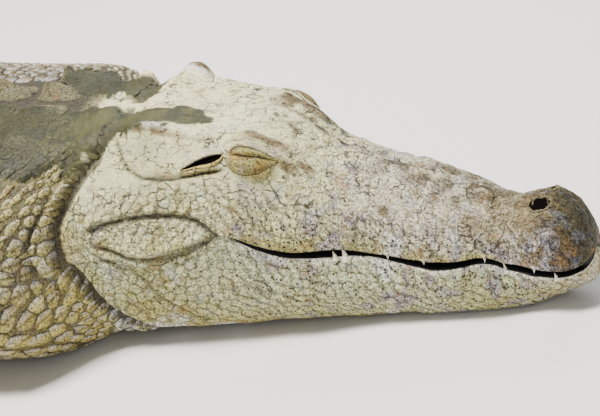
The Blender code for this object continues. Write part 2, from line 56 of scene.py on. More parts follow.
CROWN = [(1, .165), (.985, .205), (.955, .243), (.92, .262), (.88, .260), (.83, .258), (.76, .280),
         (.66, .327), (.55, .365), (.45, .398), (.36, .444), (.28, .483), (.18, .509), (.08, .525),
         (0, .536), (-.05, .532), (-.3, .550)]
TABLE_HALF = [(1, .020), (.96, .050), (.90, .066), (.83, .055), (.74, .072), (.60, .080), (.45, .088),
              (.34, .100), (.255, .118), (.08, .138), (0, .150), (-.08, .155), (-.3, .190)]
TABLE_DROP = [(1, .020), (.8, .030), (.6, .035), (.4, .030), (.3, .012), (.18, .004), (0, .004),
              (-.1, .020), (-.3, .050)]
LIP_HALF = [(1, .030), (.985, .060), (.95, .093), (.90, .108), (.84, .096), (.79, .105), (.71, .138),
            (.62, .142), (.50, .150), (.40, .175), (.30, .205), (.20, .232), (.10, .252), (0, .268),
            (-.08, .275), (-.3, .280)]
LIP_HIGH = [(1, .102), (.95, .103), (.90, .113), (.86, .118), (.82, .128), (.785, .148), (.75, .157),
            (.70, .157), (.66, .158), (.56, .182), (.46, .206), (.38, .214), (.30, .239), (.20, .297),
            (.17, .300), (.10, .285), (0, .268), (-.3, .260)]
LIP_GAP = [(1, .016), (.34, .014), (.22, .003), (-.3, .003)]
CHEEK_SHARE = [(1, .80), (.8, .75), (.5, .62), (.25, .60), (.1, .55), (-.1, .70), (-.3, .80)]
JAW_HALF = [(1, .020), (.97, .055), (.92, .080), (.85, .090), (.75, .115), (.60, .135), (.45, .160),
            (.30, .195), (.15, .225), (0, .245), (-.3, .270)]
SOLE_HALF = [(1, .005), (.95, .030), (.85, .050), (.70, .070), (.50, .100), (.30, .130), (.10, .170),
             (-.15, .200), (-.3, .200)]
CHIN = [(1, .060), (.98, .045), (.95, .036), (.90, .018), (.84, .004), (.78, -.002), (.66, -.002),
        (.55, .006), (.40, .014), (.20, .022), (0, .032), (-.12, .036), (-.3, 0)]
SWELLS = ((.275, 5.85, .050, .50, .014), (.015, 5.95, .038, .42, .030), (.91, 7.0, .030, .60, .005),
          (.80, 7.6, .030, .90, -.006), (.14, 7.2, .060, .70, -.006))
BODY_HALF = [(1, .190), (.90, .215), (.80, .243), (.70, .264), (.56, .270), (.40, .274), (.15, .294),
             (-.10, .300), (-.35, .258), (-.55, .196), (-.75, .155), (-1.1, .120), (-1.5, .088),
             (-1.9, .058), (-2.25, .034), (-2.55, .015), (-2.62, .007)]
BODY_HIGH = [(1, .296), (.80, .300), (.70, .303), (.56, .312), (.40, .328), (.10, .348), (-.20, .340),
             (-.45, .310), (-.70, .262), (-1.1, .208), (-1.5, .162), (-1.9, .117), (-2.25, .073),
             (-2.55, .033), (-2.62, .016)]
WIDEST_SHARE = [(1, .45), (.5, .42), (0, .40), (-.6, .45), (-2.62, .50)]
BELLY_FLAT = [(1, .50), (.5, .55), (0, .62), (-.6, .50), (-1, .30), (-2.62, .30)]
SIDE_ANGLES = (-38, -12, 8, 30, 55, 75)
ROUNDNESS = 2.3


def smooth_step(low, high, value):
    share = np.clip((np.asarray(value, float) - low) / (high - low), 0, 1)
    return share * share * (3 - 2 * share)


def hump(value, centre, width):
    return np.exp(-((np.asarray(value, float) - centre) / width) ** 2)


def along(line, place):
    """The line's value at a place, on a smooth curve that never overshoots its stations."""
    at, value = np.array(sorted(line), float).T
    place = np.clip(np.asarray(place, float), at[0], at[-1])
    step = np.diff(at)
    slope = np.diff(value) / step
    same = slope[:-1] * slope[1:] > 0
    front, rear = 2 * step[1:] + step[:-1], step[1:] + 2 * step[:-1]
    before, after = np.where(same, slope[:-1], 1), np.where(same, slope[1:], 1)
    tangent = np.concatenate([slope[:1], np.where(same, (front + rear) / (front / before + rear / after), 0),
                              slope[-1:]])
    i = np.clip(np.searchsorted(at, place, "right") - 1, 0, len(at) - 2)
    t = (place - at[i]) / step[i]
    return ((1 + 2 * t) * (1 - t) ** 2 * value[i] + t * (1 - t) ** 2 * step[i] * tangent[i]
            + t * t * (3 - 2 * t) * value[i + 1] + t * t * (t - 1) * step[i] * tangent[i + 1])


def skull_lengths(x):
    """How far a spine place lies in front of the rear edge of the skull, in skull lengths."""
    return (x - SKULL_X) / HEAD


def head_section(h):
    crown, table, drop = along(CROWN, h), along(TABLE_HALF, h), along(TABLE_DROP, h)
    lip, lip_z, gap = along(LIP_HALF, h), along(LIP_HIGH, h), along(LIP_GAP, h)
    jaw, sole, chin = along(JAW_HALF, h), along(SOLE_HALF, h), along(CHIN, h)
    edge_z = crown - drop
    cheek = table + (lip - table) * along(CHEEK_SHARE, h)
    y = [0 * h, sole, jaw, lip * .985, lip, cheek, table, table * .5, 0 * h]
    z = [chin, chin, chin + (lip_z - chin) * .42, lip_z - gap / 2, lip_z + gap / 2,
         lip_z + (edge_z - lip_z) * .55, edge_z, crown - drop * .35, crown]
    return np.stack([np.stack(y, -1), np.stack(z, -1)], -1) * HEAD


def body_section(x):
    half, high = along(BODY_HALF, x), along(BODY_HIGH, x)
    widest, flat = high * along(WIDEST_SHARE, x), along(BELLY_FLAT, x)
    y, z = [0 * x, half * flat], [0 * x, 0 * x]
    for angle in np.radians(SIDE_ANGLES):
        out, up = abs(np.cos(angle)) ** (2 / ROUNDNESS), abs(np.sin(angle)) ** (2 / ROUNDNESS)
        y.append(half * out)
        z.append(widest + (high - widest) * up if angle > 0 else widest * (1 - up))
    return np.stack([np.stack(y + [0 * x], -1), np.stack(z + [high], -1)], -1)


def side_place(x, girth):
    """Sideways and upward place of the flank, and the outward direction there."""
    h = skull_lengths(x)
    share = smooth_step(-.36, -.16, h)[..., None, None]
    key = head_section(h) * share + body_section(x) * (1 - share)
    mirror = np.array([-1, 1])
    key = np.concatenate([key[..., 1:2, :] * mirror, key, key[..., -2:-1, :] * mirror], -2)
    i = np.clip(np.floor(girth).astype(int), 0, 7)
    f = (girth - i)[..., None]
    a, b, c, d = (np.take_along_axis(key, (i + k)[..., None, None] * np.ones(2, int), -2)[..., 0, :]
                  for k in range(4))
    square, cube = 2 * a - 5 * b + 4 * c - d, 3 * (b - c) + d - a
    lips = (i == 3)[..., None]
    place = np.where(lips, b + f * (c - b), b + .5 * f * (c - a + f * (square + f * cube)))
    slope = np.where(lips, (1 - f) * (c - a) + f * (d - b), c - a + f * (2 * square + f * 3 * cube))
    outward = np.stack([slope[..., 1], -slope[..., 0]], -1)
    outward /= np.maximum(np.linalg.norm(outward, axis=-1, keepdims=True), 1e-9)
    swell = HEAD * sum(high * hump(h, at, spread) * hump(girth, level, width)
                       for at, level, spread, width, high in SWELLS)
    return place + outward * swell[..., None], outward


def spine_table(steps=400):
    """Places along the spine with their x, y and heading. It is straight as far back as the vent."""
    s = np.linspace(VENT_X, TAIL_END_X - .05, steps)
    share = (VENT_X - s) / (VENT_X - TAIL_END_X)
    heading = TAIL_SWING[0] * smooth_step(0, .5, share) - TAIL_SWING[1] * smooth_step(.42, 1.05, share)
    step = np.gradient(s)
    return (s, VENT_X + np.cumsum(np.cos(heading) * step), np.cumsum(-np.sin(heading) * step), heading)


SPINE = spine_table()


def to_world(x, y, z):
    """A point given by its place along the spine, its offset to the left and its height."""
    s, line_x, line_y, heading = (part[::-1] for part in SPINE)
    bent = x < VENT_X
    angle = np.where(bent, np.interp(x, s, heading), 0)
    base_x = np.where(bent, np.interp(x, s, line_x), x)
    base_y = np.where(bent, np.interp(x, s, line_y), 0)
    return np.stack([base_x + y * np.sin(angle), base_y + y * np.cos(angle), z], -1)


# Folds of the skin: depth and half width in metres, how far from each end they fade, and a path of
# (skull lengths, girth). Each is on both sides of the head.
FOLDS = {
    "neck": (.0110, .0085, .02, ((-.085, 7.9), (-.080, 6.9), (-.092, 5.85), (-.132, 5.53), (-.164, 5.28),
                                 (-.186, 5.04), (-.206, 4.78), (-.214, 4.45), (-.212, 4.0), (-.206, 3.2),
                                 (-.182, 2.36), (-.128, 1.57), (-.06, 1.0))),
    "neck_second": (.0050, .0050, .2, ((-.135, 6.0), (-.178, 5.6), (-.225, 5.1), (-.255, 4.5), (-.245, 3.2))),
    "jowl": (.0022, .0040, .2, ((-.165, 4.15), (-.090, 3.30), (-.030, 2.50), (.035, 1.75), (.085, 1.35))),
    "cheek_upper": (.0062, .0045, .10, ((.205, 3.80), (.165, 4.25), (.123, 4.47), (.043, 4.62),
                                        (-.037, 4.65), (-.103, 4.62), (-.140, 4.50))),
    "cheek_lower": (.0055, .0042, .10, ((.205, 3.10), (.146, 2.88), (.104, 2.83), (.060, 2.83),
                                        (-.012, 2.94), (-.050, 4.05), (-.086, 4.22), (-.150, 4.36))),
    "cheek_third": (.0035, .0040, .3, ((-.150, 4.25), (-.118, 4.06), (-.088, 2.88), (-.040, 2.66))),
    "lids": (.0030, .0030, .10, ((.236, 5.61), (.258, 5.66), (.276, 5.68), (.308, 5.73), (.340, 5.79))),
    "brow": (.0024, .0026, .2, ((.215, 5.72), (.234, 5.88), (.258, 5.98), (.284, 6.05), (.316, 6.00),
                                (.345, 5.90))),
    "eye_front": (.0024, .0020, .3, ((.335, 5.95), (.352, 5.72), (.356, 5.50), (.345, 5.30))),
    "ear": (.0036, .0042, .16, ((.222, 5.60), (.205, 5.54), (.180, 5.44), (.150, 5.36), (.116, 5.27))),
    "temple": (.0066, .0030, .12, ((.240, 5.34), (.178, 5.22), (.134, 5.16), (.076, 5.15), (.020, 5.21),
                                   (-.022, 5.48), (-.038, 5.76), (-.048, 6.10))),
    "table": (.0026, .0040, .2, ((-.010, 6.02), (.067, 5.98), (.143, 5.86), (.203, 5.80))),
    "nostril": (.0036, .0060, .1, ((.880, 7.06), (.892, 7.00), (.914, 7.00), (.926, 7.10))),
    "lip_groove": (.0030, .0028, .3, ((.500, 4.95), (.490, 4.55), (.487, 4.10))),
    "snout": (.0022, .0040, .3, ((.800, 7.80), (.790, 6.60), (.800, 5.40), (.815, 4.40))),
}
EYE_AT, LIDS_LONG, LIDS_TALL, LIDS_HIGH = (.283, 5.55), .037, .0195, .0085
LIPS_PART = .0022       # how far each lip draws back where the mouth stands open
# Bulges of the face over tooth roots and bone: place, girth, how far they spread along and across
# the skull in metres, and height.
BULGES = ((.50, 4.42, .028, .015, .0034), (.63, 4.45, .028, .016, .0034), (.36, 4.50, .033, .018, .0028),
          (.885, 4.9, .025, .034, .0022), (.50, 2.75, .017, .015, .0022), (.79, 2.75, .017, .013, .0018),
          (.35, 6.05, .017, .012, .0030), (.41, 6.9, .033, .022, .0020), (.60, 6.6, .028, .018, .0018),
          (.20, 6.4, .033, .022, -.0020), (.46, 5.7, .038, .016, .0022), (-.02, 5.05, .028, .020, .0025),
          (.10, 4.95, .033, .013, .0022), (.02, 3.95, .050, .016, .0034), (.30, 2.2, .066, .024, .0020))
# Patches of wet mud: side, place in skull lengths, girth and the half spread of each.
WET_MUD = ((-1, -.17, 6.72, .235, 1.12), (-1, -.42, 7.0, .22, .9), (-1, .078, 7.25, .075, .62),
           (1, -.20, 6.9, .16, .75), (1, -.9, 4.2, .14, .9), (-1, -1.5, 4.6, .22, .8))


def flank_place(x, girth):
    """The left flank without folds, as points (spine, out, up), and the outward direction."""
    place, outward = side_place(x, girth)
    return np.stack([x, place[..., 0], place[..., 1]], -1), outward


def side_and_level(girth):
    """Splits a girth, which goes round by 16, into its side, 1 for left, and its level of 0 to 8."""
    turn = (girth + 8) % 16 - 8
    return np.where(turn < 0, -1, 1), np.abs(turn)


def on_side(flank, side):
    return flank * np.stack([np.ones(len(flank)), side, np.ones(len(flank))], -1)


def fold_points(path, count=26):
    nodes = np.arange(len(path))
    h, girth = np.array(path).T
    at = np.linspace(0, len(path) - 1, count)
    x = SKULL_X + along(list(zip(nodes, h)), at) * HEAD
    return flank_place(x, along(list(zip(nodes, girth)), at))[0]


def distance_to(points, line):
    """Distance from each point to a line of points, and how far along it the nearest place is."""
    nearest, share = np.full(len(points), 9.0), np.zeros(len(points))
    for i, (start, end) in enumerate(zip(line[:-1], line[1:])):
        run = end - start
        t = np.clip((points - start) @ run / (run @ run), 0, 1)
        away = np.linalg.norm(points - start - t[:, None] * run, axis=1)
        closer = away < nearest
        nearest[closer], share[closer] = away[closer], (i + t[closer]) / (len(line) - 1)
    return nearest, share


WAVES = np.random.default_rng(7)
WAVE_TURNS = WAVES.normal(size=(36, 3))
WAVE_TURNS /= np.linalg.norm(WAVE_TURNS, axis=1, keepdims=True)
WAVE_STARTS = WAVES.uniform(0, 2 * np.pi, 36)


def unevenness(points, longest, shortest):
    """Soft irregular lumps, mostly within 1 either way, from a fixed set of crossing waves."""
    lengths = np.geomspace(longest, shortest, len(WAVE_TURNS))
    phase = points @ (WAVE_TURNS * (2 * np.pi / lengths)[:, None]).T + WAVE_STARTS
    weight = (lengths / longest) ** .5
    return (np.sin(phase) * weight).sum(-1) / np.sqrt((weight ** 2).sum() / 2) / 1.6


FOLD_LINES = {name: fold_points(fold[3]) for name, fold in FOLDS.items()}
DEEPEST_FOLD = .0115


def folds_depth(points, x, only=None):
    """How far the folds press the skin in at points of the flank, in metres."""
    depth = np.zeros(len(points))
    head = np.where(skull_lengths(x) > -.45)[0]
    for name, (deep, half_width, fade, _) in FOLDS.items():
        if only and name not in only:
            continue
        line = FOLD_LINES[name]
        reach = 3.5 * half_width
        near = head[((points[head] > line.min(0) - reach) & (points[head] < line.max(0) + reach)).all(1)]
        if len(near):
            away, share = distance_to(points[near], line)
            away = away / half_width
            shape = np.exp(-away ** 2) - .16 * np.exp(-((away - 2.0) / .8) ** 2)
            depth[near] += deep * shape * smooth_step(0, fade, share) * smooth_step(1, 1 - fade, share)
    return np.minimum(depth, DEEPEST_FOLD)


def mud_cover(x, girth, points):
    """Above 0 inside the patches of wet mud."""
    h, (side, level) = skull_lengths(x), side_and_level(girth)
    cover = np.full(len(x), -1.0)
    for at_side, place, at, long, wide in WET_MUD:
        blob = 1 - ((h - place) / long) ** 2 - ((level - at) / wide) ** 2
        cover = np.maximum(cover, np.where(side == at_side, blob, -1))
    return cover + .30 * unevenness(points, .07, .012)


def head_point(h, girth):
    """A point of the left flank of the head, and the outward direction there."""
    place, outward = flank_place(np.array([SKULL_X + h * HEAD]), np.array([girth]))
    return place[0], outward[0]


EYE_POINT, EYE_OUTWARD = head_point(*EYE_AT)
BULGE_POINTS = [head_point(*bulge[:2])[0] for bulge in BULGES]
# How far the lips part along the mouth: place in skull lengths, spread, and share of LIPS_PART.
LIP_GAPS = ((.265, .060, 1.1), (.41, .06, 1), (.655, .075, 1), (.875, .05, 1), (.52, .035, -.5))
MOUTH_DEEP, TIP_ROUND = .026, .012


def skin_relief(flank, placed, h, level):
    """How far lids, bulges, knobs and lumps raise the skin at points of the flank, in metres."""
    relief = unevenness(placed, .16, .018) * (.0006 + .0010 * smooth_step(-.24, -.12, h))
    knobs = smooth_step(5.6, 6.7, level) * smooth_step(.24, .36, h) * smooth_step(.90, .82, h)
    relief = relief + knobs * unevenness(placed + 21, .040, .011) * .0024
    nose = smooth_step(.82, .90, h) * smooth_step(3.7, 4.4, level)
    relief = relief + nose * unevenness(placed + 27, .022, .008) * .0010
    away = flank - EYE_POINT
    lids = (away[:, 0] / LIDS_LONG) ** 2 + (away[:, 1] ** 2 + away[:, 2] ** 2) / LIDS_TALL ** 2
    relief = relief + LIDS_HIGH * np.clip(1 - lids, 0, None) ** .8
    for centre, (_, _, long, wide, high) in zip(BULGE_POINTS, BULGES):
        away = flank - centre
        spread = (away[:, 0] / long) ** 2 + (away[:, 1] ** 2 + away[:, 2] ** 2) / wide ** 2
        relief = relief + high * np.exp(-spread)
    return relief


def rounded(share):
    """A half width that closes like a blunt nose as the share runs from 0 to 1."""
    return np.clip(.99999 - share ** 2, 0, 1) ** .25


def hide_place(x, girth, lift=0.0):
    """Points of the hide, raised by lift. girth is negative on the right and goes round by 16."""
    x = np.asarray(x, float).ravel()
    side, level = side_and_level(np.asarray(girth, float).ravel())
    flank, outward = flank_place(x, level)
    h, placed = skull_lengths(x), on_side(flank, side)
    on_head = smooth_step(-.24, -.12, h)
    mud = smooth_step(-.05, .25, mud_cover(x, level * side, placed))
    cover = SCALE_DEPTH * (1 - on_head) + .0022 * on_head - mud * np.where(h < -.1, .0040, .0014)
    off = lift * (1 - .80 * mud) - cover - folds_depth(flank, x) * (1 - .75 * mud)
    off = off + skin_relief(flank, placed, h, level)
    y, z = flank[:, 1] + outward[:, 0] * off, flank[:, 2] + outward[:, 1] * off
    part = LIPS_PART * sum(share * hump(h, at, spread) for at, spread, share in LIP_GAPS)
    z = z + part * (hump(level, 4.05, .35) - hump(level, 2.95, .35)) * smooth_step(.19, .24, h)
    mouth = smooth_step(3.01, 3.07, level) * smooth_step(3.99, 3.93, level) * smooth_step(.17, .22, h)
    mouth = mouth * smooth_step(TIP_X - .004, TIP_X - .016, x) * MOUTH_DEEP
    inner_x = np.minimum(x, TIP_X - .045)
    reach = np.maximum(np.hypot(x - inner_x, y), 1e-6)
    y = y * (1 - mouth / reach)
    tip = np.clip((x - (TIP_X - TIP_ROUND)) / TIP_ROUND, 0, 1)
    forward = x - (x - inner_x) / reach * mouth - .0022 * tip
    for end, middle in ((tip, .125 * HEAD), (np.clip((TAIL_END_X + TIP_ROUND - x) / TIP_ROUND, 0, 1), .0042)):
        y, z = y * rounded(end), middle + (z - middle) * rounded(end)
    y = np.where((level < .00001) | (level > 7.99999), 0, np.maximum(y, 0))
    z = np.maximum(z, .0008 + .0015 * smooth_step(0, 1, level))
    return to_world(forward, y * side, z)


# The flat grid: ROWS give the spine place at row numbers and COLUMNS the girth at column numbers.
ROWS = ((0, TIP_X), (6, TIP_X - .003), (14, TIP_X - .018), (118, SKULL_X - .30 * HEAD), (330, TAIL_END_X))
COLUMNS = ((0, 0), (4, 1), (14, 2.975), (15, 3.01), (16, 3.06), (19, 3.5), (22, 3.94), (23, 3.99),
           (24, 4.025), (32, 5.03), (43, 6.25), (51, 8))
ROW_STEPS, COLUMN_STEPS = ROWS[-1][0], COLUMNS[-1][0] * 2


def grid_place(grid_x, grid_y):
    """Spine place and signed girth of a point of the flat grid, which is 2 wide and 2 long."""
    x = np.interp((1 - grid_y) / 2 * ROW_STEPS, *np.array(ROWS).T)
    girth = np.interp(np.abs(grid_x) * COLUMN_STEPS / 2, *np.array(COLUMNS).T)
    return x, np.sign(grid_x) * girth


bpy.ops.mesh.primitive_grid_add(x_subdivisions=COLUMN_STEPS, y_subdivisions=ROW_STEPS, size=2)
hide = bpy.context.object
hide.name = "hide"
EYE_X = SKULL_X + EYE_AT[0] * HEAD


def choose(kind, chosen):
    """Goes into edit mode with only the chosen faces or edges of the active mesh selected."""
    bpy.ops.object.mode_set(mode="EDIT")
    bpy.ops.mesh.select_mode(type=kind)
    bpy.ops.mesh.select_all(action="DESELECT")
    bpy.ops.object.mode_set(mode="OBJECT")
    mesh = bpy.context.object.data
    (mesh.polygons if kind == "FACE" else mesh.edges).foreach_set("select", np.array(chosen))
    bpy.ops.object.mode_set(mode="EDIT")


for finer in (lambda x, level: x > SKULL_X - .26 * HEAD,
              lambda x, level: (abs(x - EYE_X + .020) < .072) & (level > 5.1) & (level < 6.05)):
    centre = np.array([face.center for face in hide.data.polygons])
    x, girth = grid_place(centre[:, 0], centre[:, 1])
    choose("FACE", finer(x, np.abs(girth)))
    bpy.ops.mesh.subdivide(number_cuts=1, quadcorner="INNERVERT")
    bpy.ops.object.mode_set(mode="OBJECT")


def paint(*levels):
    """A colour named by its three screen levels of 0 to 255, as the linear values of a shader."""
    share = np.array(levels, float) / 255
    return np.where(share <= .04045, share / 12.92, ((share + .055) / 1.055) ** 2.4)


def mixed(colour, other, share):
    return colour + (other - colour) * np.clip(share, 0, 1)[:, None]


def laid_on(colour, *paints):
    """The colour with paints laid over it in turn, each given with its share."""
    for over, share in paints:
        colour = mixed(colour, over, share)
    return colour


def body_colour(x, level, wide, fine, blotch):
    """Grey green above and pale below, with dark blotches on the flanks and bands on the tail."""
    bands = np.sin(x * 2 * np.pi / .20 + 1.1 * wide)
    banded = smooth_step(.1, .8, bands + .6 * fine) * smooth_step(-.9, -1.2, x) * smooth_step(1.0, 2.0, level)
    blotched = smooth_step(.35, .9, blotch) * smooth_step(1.6, 2.6, level) * smooth_step(.4, .2, x)
    return laid_on(np.tile(paint(128, 124, 96), (len(x), 1)),
                   (paint(104, 100, 74), smooth_step(4.5, 7.5, level)),
                   (paint(152, 146, 112), smooth_step(4.2, 2.2, level)),
                   (paint(206, 198, 158), smooth_step(1.5, .9, level)),
                   (paint(62, 60, 44), np.maximum(banded, blotched) * .8))


def neck_colour(level):
    return laid_on(np.tile(paint(190, 180, 122), (len(level), 1)),
                   (paint(194, 180, 100), smooth_step(4, 2.4, level)),
                   (paint(92, 88, 68), smooth_step(5.4, 6.8, level) * .9))


# Rough brown spots of the face: place in skull lengths and its spread, girth and its spread.
ROUGH_SPOTS = ((.300, .05, 6.35, .30), (.395, .025, 5.95, .16), (.560, .018, 5.35, .16),
               (.355, .025, 5.75, .22), (.02, .035, 6.05, .16))


def face_colour(h, girth, points, wide, fine, blotch, tip, lid):
    """Pale dried mud over skin stained ochre and white, with a dark nose and brown crests. Its lilac patches
    are painted sky sheen, the lower lip's top edge carries a painted highlight, and the upper lip's olive
    edge deepens as painted shade at the mouth.
    """
    level, left = np.abs(girth), girth > 0
    nose = tip * smooth_step(3.7, 4.2, level)
    front, upper = smooth_step(.20, .26, h), smooth_step(5.6, 4.4, level)
    spot = lambda at, long, high, across: hump(h, at, long) * hump(level, high, across)
    patchy = lambda shift, longest, shortest, low, high: smooth_step(
        low, high, unevenness(points + shift, longest, shortest))
    rough = np.max([spot(*place) for place in ROUGH_SPOTS] + [left * spot(.34, .07, 6.2, .7)], 0)
    ridge = smooth_step(6.3, 7.7, level) * smooth_step(.24, .34, h) * smooth_step(.85, .75, h)
    brow = left * smooth_step(5.2, 5.9, level) * smooth_step(.22, .28, h) * smooth_step(.50, .42, h)
    crest = np.maximum(ridge, brow)
    return laid_on(
        np.tile(paint(205, 204, 158), (len(h), 1)),
        (paint(213, 211, 166), smooth_step(5.5, 7, level)),
        (paint(202, 206, 166), smooth_step(3.9, 2.9, level)),
        (paint(200, 194, 172), smooth_step(.36, .60, h) * smooth_step(3.7, 4.5, level)),
        (paint(186, 181, 118), smooth_step(.34, -.02, h) * smooth_step(2.9, 1.7, level) * .8),
        (paint(184, 178, 116), smooth_step(2.5, 1.3, level + .35 * wide) * .75),
        (paint(184, 160, 78), smooth_step(1.30, .92, level) * .85),
        # Olive band on the upper lip, deepest at the mouth line: olive skin with painted shade under the lip.
        (paint(160, 152, 88), front * hump(level, 4.05, .42) * .85),
        (paint(160, 150, 80), smooth_step(.1, .9, fine - .3 * wide) * upper * .62),
        # Painted sky sheen: lilac patches over the face.
        (paint(164, 158, 186), smooth_step(.20, 1.0, fine) * smooth_step(.05, .5, h) * .55),
        (paint(228, 227, 226), smooth_step(.45, 1.0, blotch - .3 * fine) * smooth_step(5.6, 4.8, level) * .7),
        (paint(160, 130, 86), smooth_step(.55, 1.2, blotch + .4 * fine) * smooth_step(4.6, 5.2, level) * .45),
        (paint(126, 116, 82), smooth_step(.60, .84, h + .10 * fine) * smooth_step(4.3, 5.6, level) * .75),
        (paint(104, 88, 52), tip * smooth_step(3.0, 4.0, level) * .94),
        (paint(66, 64, 46), smooth_step(.88, .98, h + .03 * fine) * smooth_step(3.5, 4.5, level) * .8),
        # Painted sky sheen: lilac white patches on the sides of the snout tip.
        (paint(206, 198, 204), smooth_step(.3, .8, fine) * tip * smooth_step(7.2, 5.4, level)
         * smooth_step(.97, .90, h) * .75),
        (paint(176, 168, 128), tip * smooth_step(3.6, 3.0, level) * .6),
        (paint(150, 112, 56), nose * hump(level, 4.6, .6) * patchy(19, .05, .01, -.2, .7) * .7),
        (paint(112, 116, 128), nose * patchy(23, .04, .008, .1, .8) * .55),
        (paint(36, 32, 30), nose * patchy(17, .022, .005, .35, .9) * .75),
        # Painted sky sheen: a lilac white patch on the rear of the skull table.
        (paint(222, 216, 224), spot(.030, .050, 6.24, .12) * .85),
        (paint(112, 84, 50), spot(.035, .055, 6.03, .10) * smooth_step(-.9, .2, fine) * .95),
        # Painted highlight: a bright white rim along the top edge of the lower lip.
        (paint(232, 229, 214), front * smooth_step(2.72, 2.95, level) * smooth_step(3.1, 3.0, level) * .8),
        (paint(164, 154, 96), smooth_step(.22, .6, lid)),
        (paint(176, 154, 84), smooth_step(.3, .8, spot(.165, .060, 5.24, .14)) * .7),
        (paint(104, 84, 50), smooth_step(.30, .8, rough + .25 * fine) * .85),
        (paint(96, 84, 58), crest * smooth_step(-.1, .8, fine + .4 * blotch) * .80),
        (paint(44, 38, 30), crest * patchy(13, .03, .006, .5, .95) * .85))


def markings(x, girth, points):
    """At places of the hide: its colour, and the shares of crust, pits, wet mud and smooth chalk."""
    h, level = skull_lengths(x), np.abs(girth)
    wide, fine = unevenness(points, .30, .05), unevenness(points + 3, .06, .012)
    blotch = unevenness(points + 7, .22, .03)
    head = smooth_step(-.215, -.145, h + .012 * fine)
    tip = smooth_step(.80, .93, h + .035 * fine + .02 * wide)
    lid = hump(h, .283, .050) * hump(level, 5.56, .33)
    bare_lid = smooth_step(.25, .7, lid)
    crust = head * (1 - tip * .7) * smooth_step(3.6, 4.6, level) * (1 - bare_lid)
    crust = np.maximum(crust, .25 * (1 - head))
    pits = head * smooth_step(5.6, 4.7, level) * smooth_step(.8, 1.2, level)
    pits = pits * (.45 + .55 * smooth_step(.12, .3, h))
    chalk = head * smooth_step(.44, .24, h) * smooth_step(4.55, 5.1, level) * (1 - bare_lid)
    mud = smooth_step(-.03, .06, mud_cover(x, girth, points))
    wet = laid_on(np.tile(paint(56, 56, 28), (len(x), 1)),
                  (paint(74, 74, 40), smooth_step(-.4, .8, blotch)),
                  (paint(42, 44, 27), smooth_step(.1, .9, fine) * .7))
    flank = np.stack([points[:, 0], np.abs(points[:, 1]), points[:, 2]], -1)
    # Painted shade: the skin is painted dark where the folds press it in, and very dark along the lid and ear
    # slits, for the shadow in them.
    fold_shade = smooth_step(.0006, .0050, folds_depth(flank, x)) * (1 - .6 * mud)
    slit_shade = smooth_step(.0015, .0032, folds_depth(flank, x, ("lids", "ear")))
    # Painted shade: the inside of the mouth between the lips is painted very dark for the shadow in it.
    mouth = smooth_step(2.995, 3.008, level) * smooth_step(4.006, 3.993, level) * smooth_step(.19, .215, h)
    colour = laid_on(body_colour(x, level, wide, fine, blotch),
                     (neck_colour(level), smooth_step(-.75, -.5, h)),
                     (face_colour(h, girth, points, wide, fine, blotch, tip, lid), head),
                     (wet, mud),
                     (paint(58, 54, 46), fold_shade * .85),
                     (paint(26, 23, 26), mouth),
                     (paint(14, 12, 12), slit_shade * .85))
    return colour, crust * (1 - mud), pits * (1 - mud), mud, chalk


def dress(piece, x, girth, tone=None, gap=None, points=None, up=None, heart=None):
    """Writes the markings of a hide or coat mesh into it, for its material to read."""
    mesh = piece.data
    side, level = side_and_level(girth)
    if points is None:
        points = on_side(flank_place(x, level)[0], side)
    colour, crust, pits, mud, chalk = markings(x, level * side, points)
    gap = np.zeros(len(x)) if gap is None else gap * (1 - mud)
    # Painted light on beads: the upper half of each is painted lilac white as a highlight from above, and the
    # lower half olive as shade.
    if up is not None:
        bare = 1 - mud
        colour = mixed(colour, paint(206, 201, 204), smooth_step(.10, .85, up) * .62 * bare)
        colour = mixed(colour, paint(150, 138, 70), smooth_step(.05, -.75, up) * .50 * bare)
        colour = mixed(colour, paint(58, 50, 34), heart * .75 * bare)
    if tone is not None:
        colour = colour * (1 + tone[:, None] * (1 - mud[:, None]))
    # This colour holds the skin's own colours with the painted shade and highlights laid in.
    shown = np.concatenate([np.clip(colour, 0, 1), np.ones((len(x), 1))], 1).astype(np.float32)
    mesh.attributes.new("pigment", "FLOAT_COLOR", "POINT").data.foreach_set("color", shown.ravel())
    for name, values in (("crust", crust), ("pits", pits), ("mud", mud), ("gap", gap), ("chalk", chalk)):
        mesh.attributes.new(name, "FLOAT", "POINT").data.foreach_set("value", values.astype(np.float32))


def close_up(merge=None):
    """Merges the doubles of the active mesh, where a distance is given, and turns its faces outwards."""
    bpy.ops.object.mode_set(mode="EDIT")
    bpy.ops.mesh.select_all(action="SELECT")
    if merge:
        bpy.ops.mesh.remove_doubles(threshold=merge)
    bpy.ops.mesh.normals_make_consistent(inside=False)
    bpy.ops.object.mode_set(mode="OBJECT")


def joined(pieces):
    """All the pieces as one, which keeps the name of the first."""
    bpy.ops.object.select_all(action="DESELECT")
    for piece in pieces:
        piece.select_set(True)
    bpy.context.view_layer.objects.active = pieces[0]
    bpy.ops.object.join()
    return pieces[0]


def corners_of(piece):
    return np.array([vert.co for vert in piece.data.vertices])


flat = corners_of(hide)
hide_x, hide_girth = grid_place(flat[:, 0], flat[:, 1])
hide_girth = np.where(np.abs(flat[:, 0]) > .99999, np.sign(flat[:, 0]) * 7.999999, hide_girth)
hide.data.vertices.foreach_set("co", hide_place(hide_x, hide_girth).ravel())
hide_h, hide_level = skull_lengths(hide_x), np.abs(hide_girth)
plated = smooth_step(-.235, -.215, hide_h) * smooth_step(.98, .96, hide_h)
plated = plated * smooth_step(5.15, 5.0, hide_level)
plated = np.maximum(plated * (1 - hump(hide_level, 3.5, .62)), smooth_step(-.20, -.23, hide_h) * 1.3)
dress(hide, hide_x, hide_girth, gap=plated * .55)
close_up(.000005)
bpy.ops.object.shade_smooth()


def sockets(group, inputs, outputs):
    for kind, names in (("INPUT", inputs), ("OUTPUT", outputs)):
        for name, socket in names:
            group.interface.new_socket(name, in_out=kind, socket_type="NodeSocket" + socket)


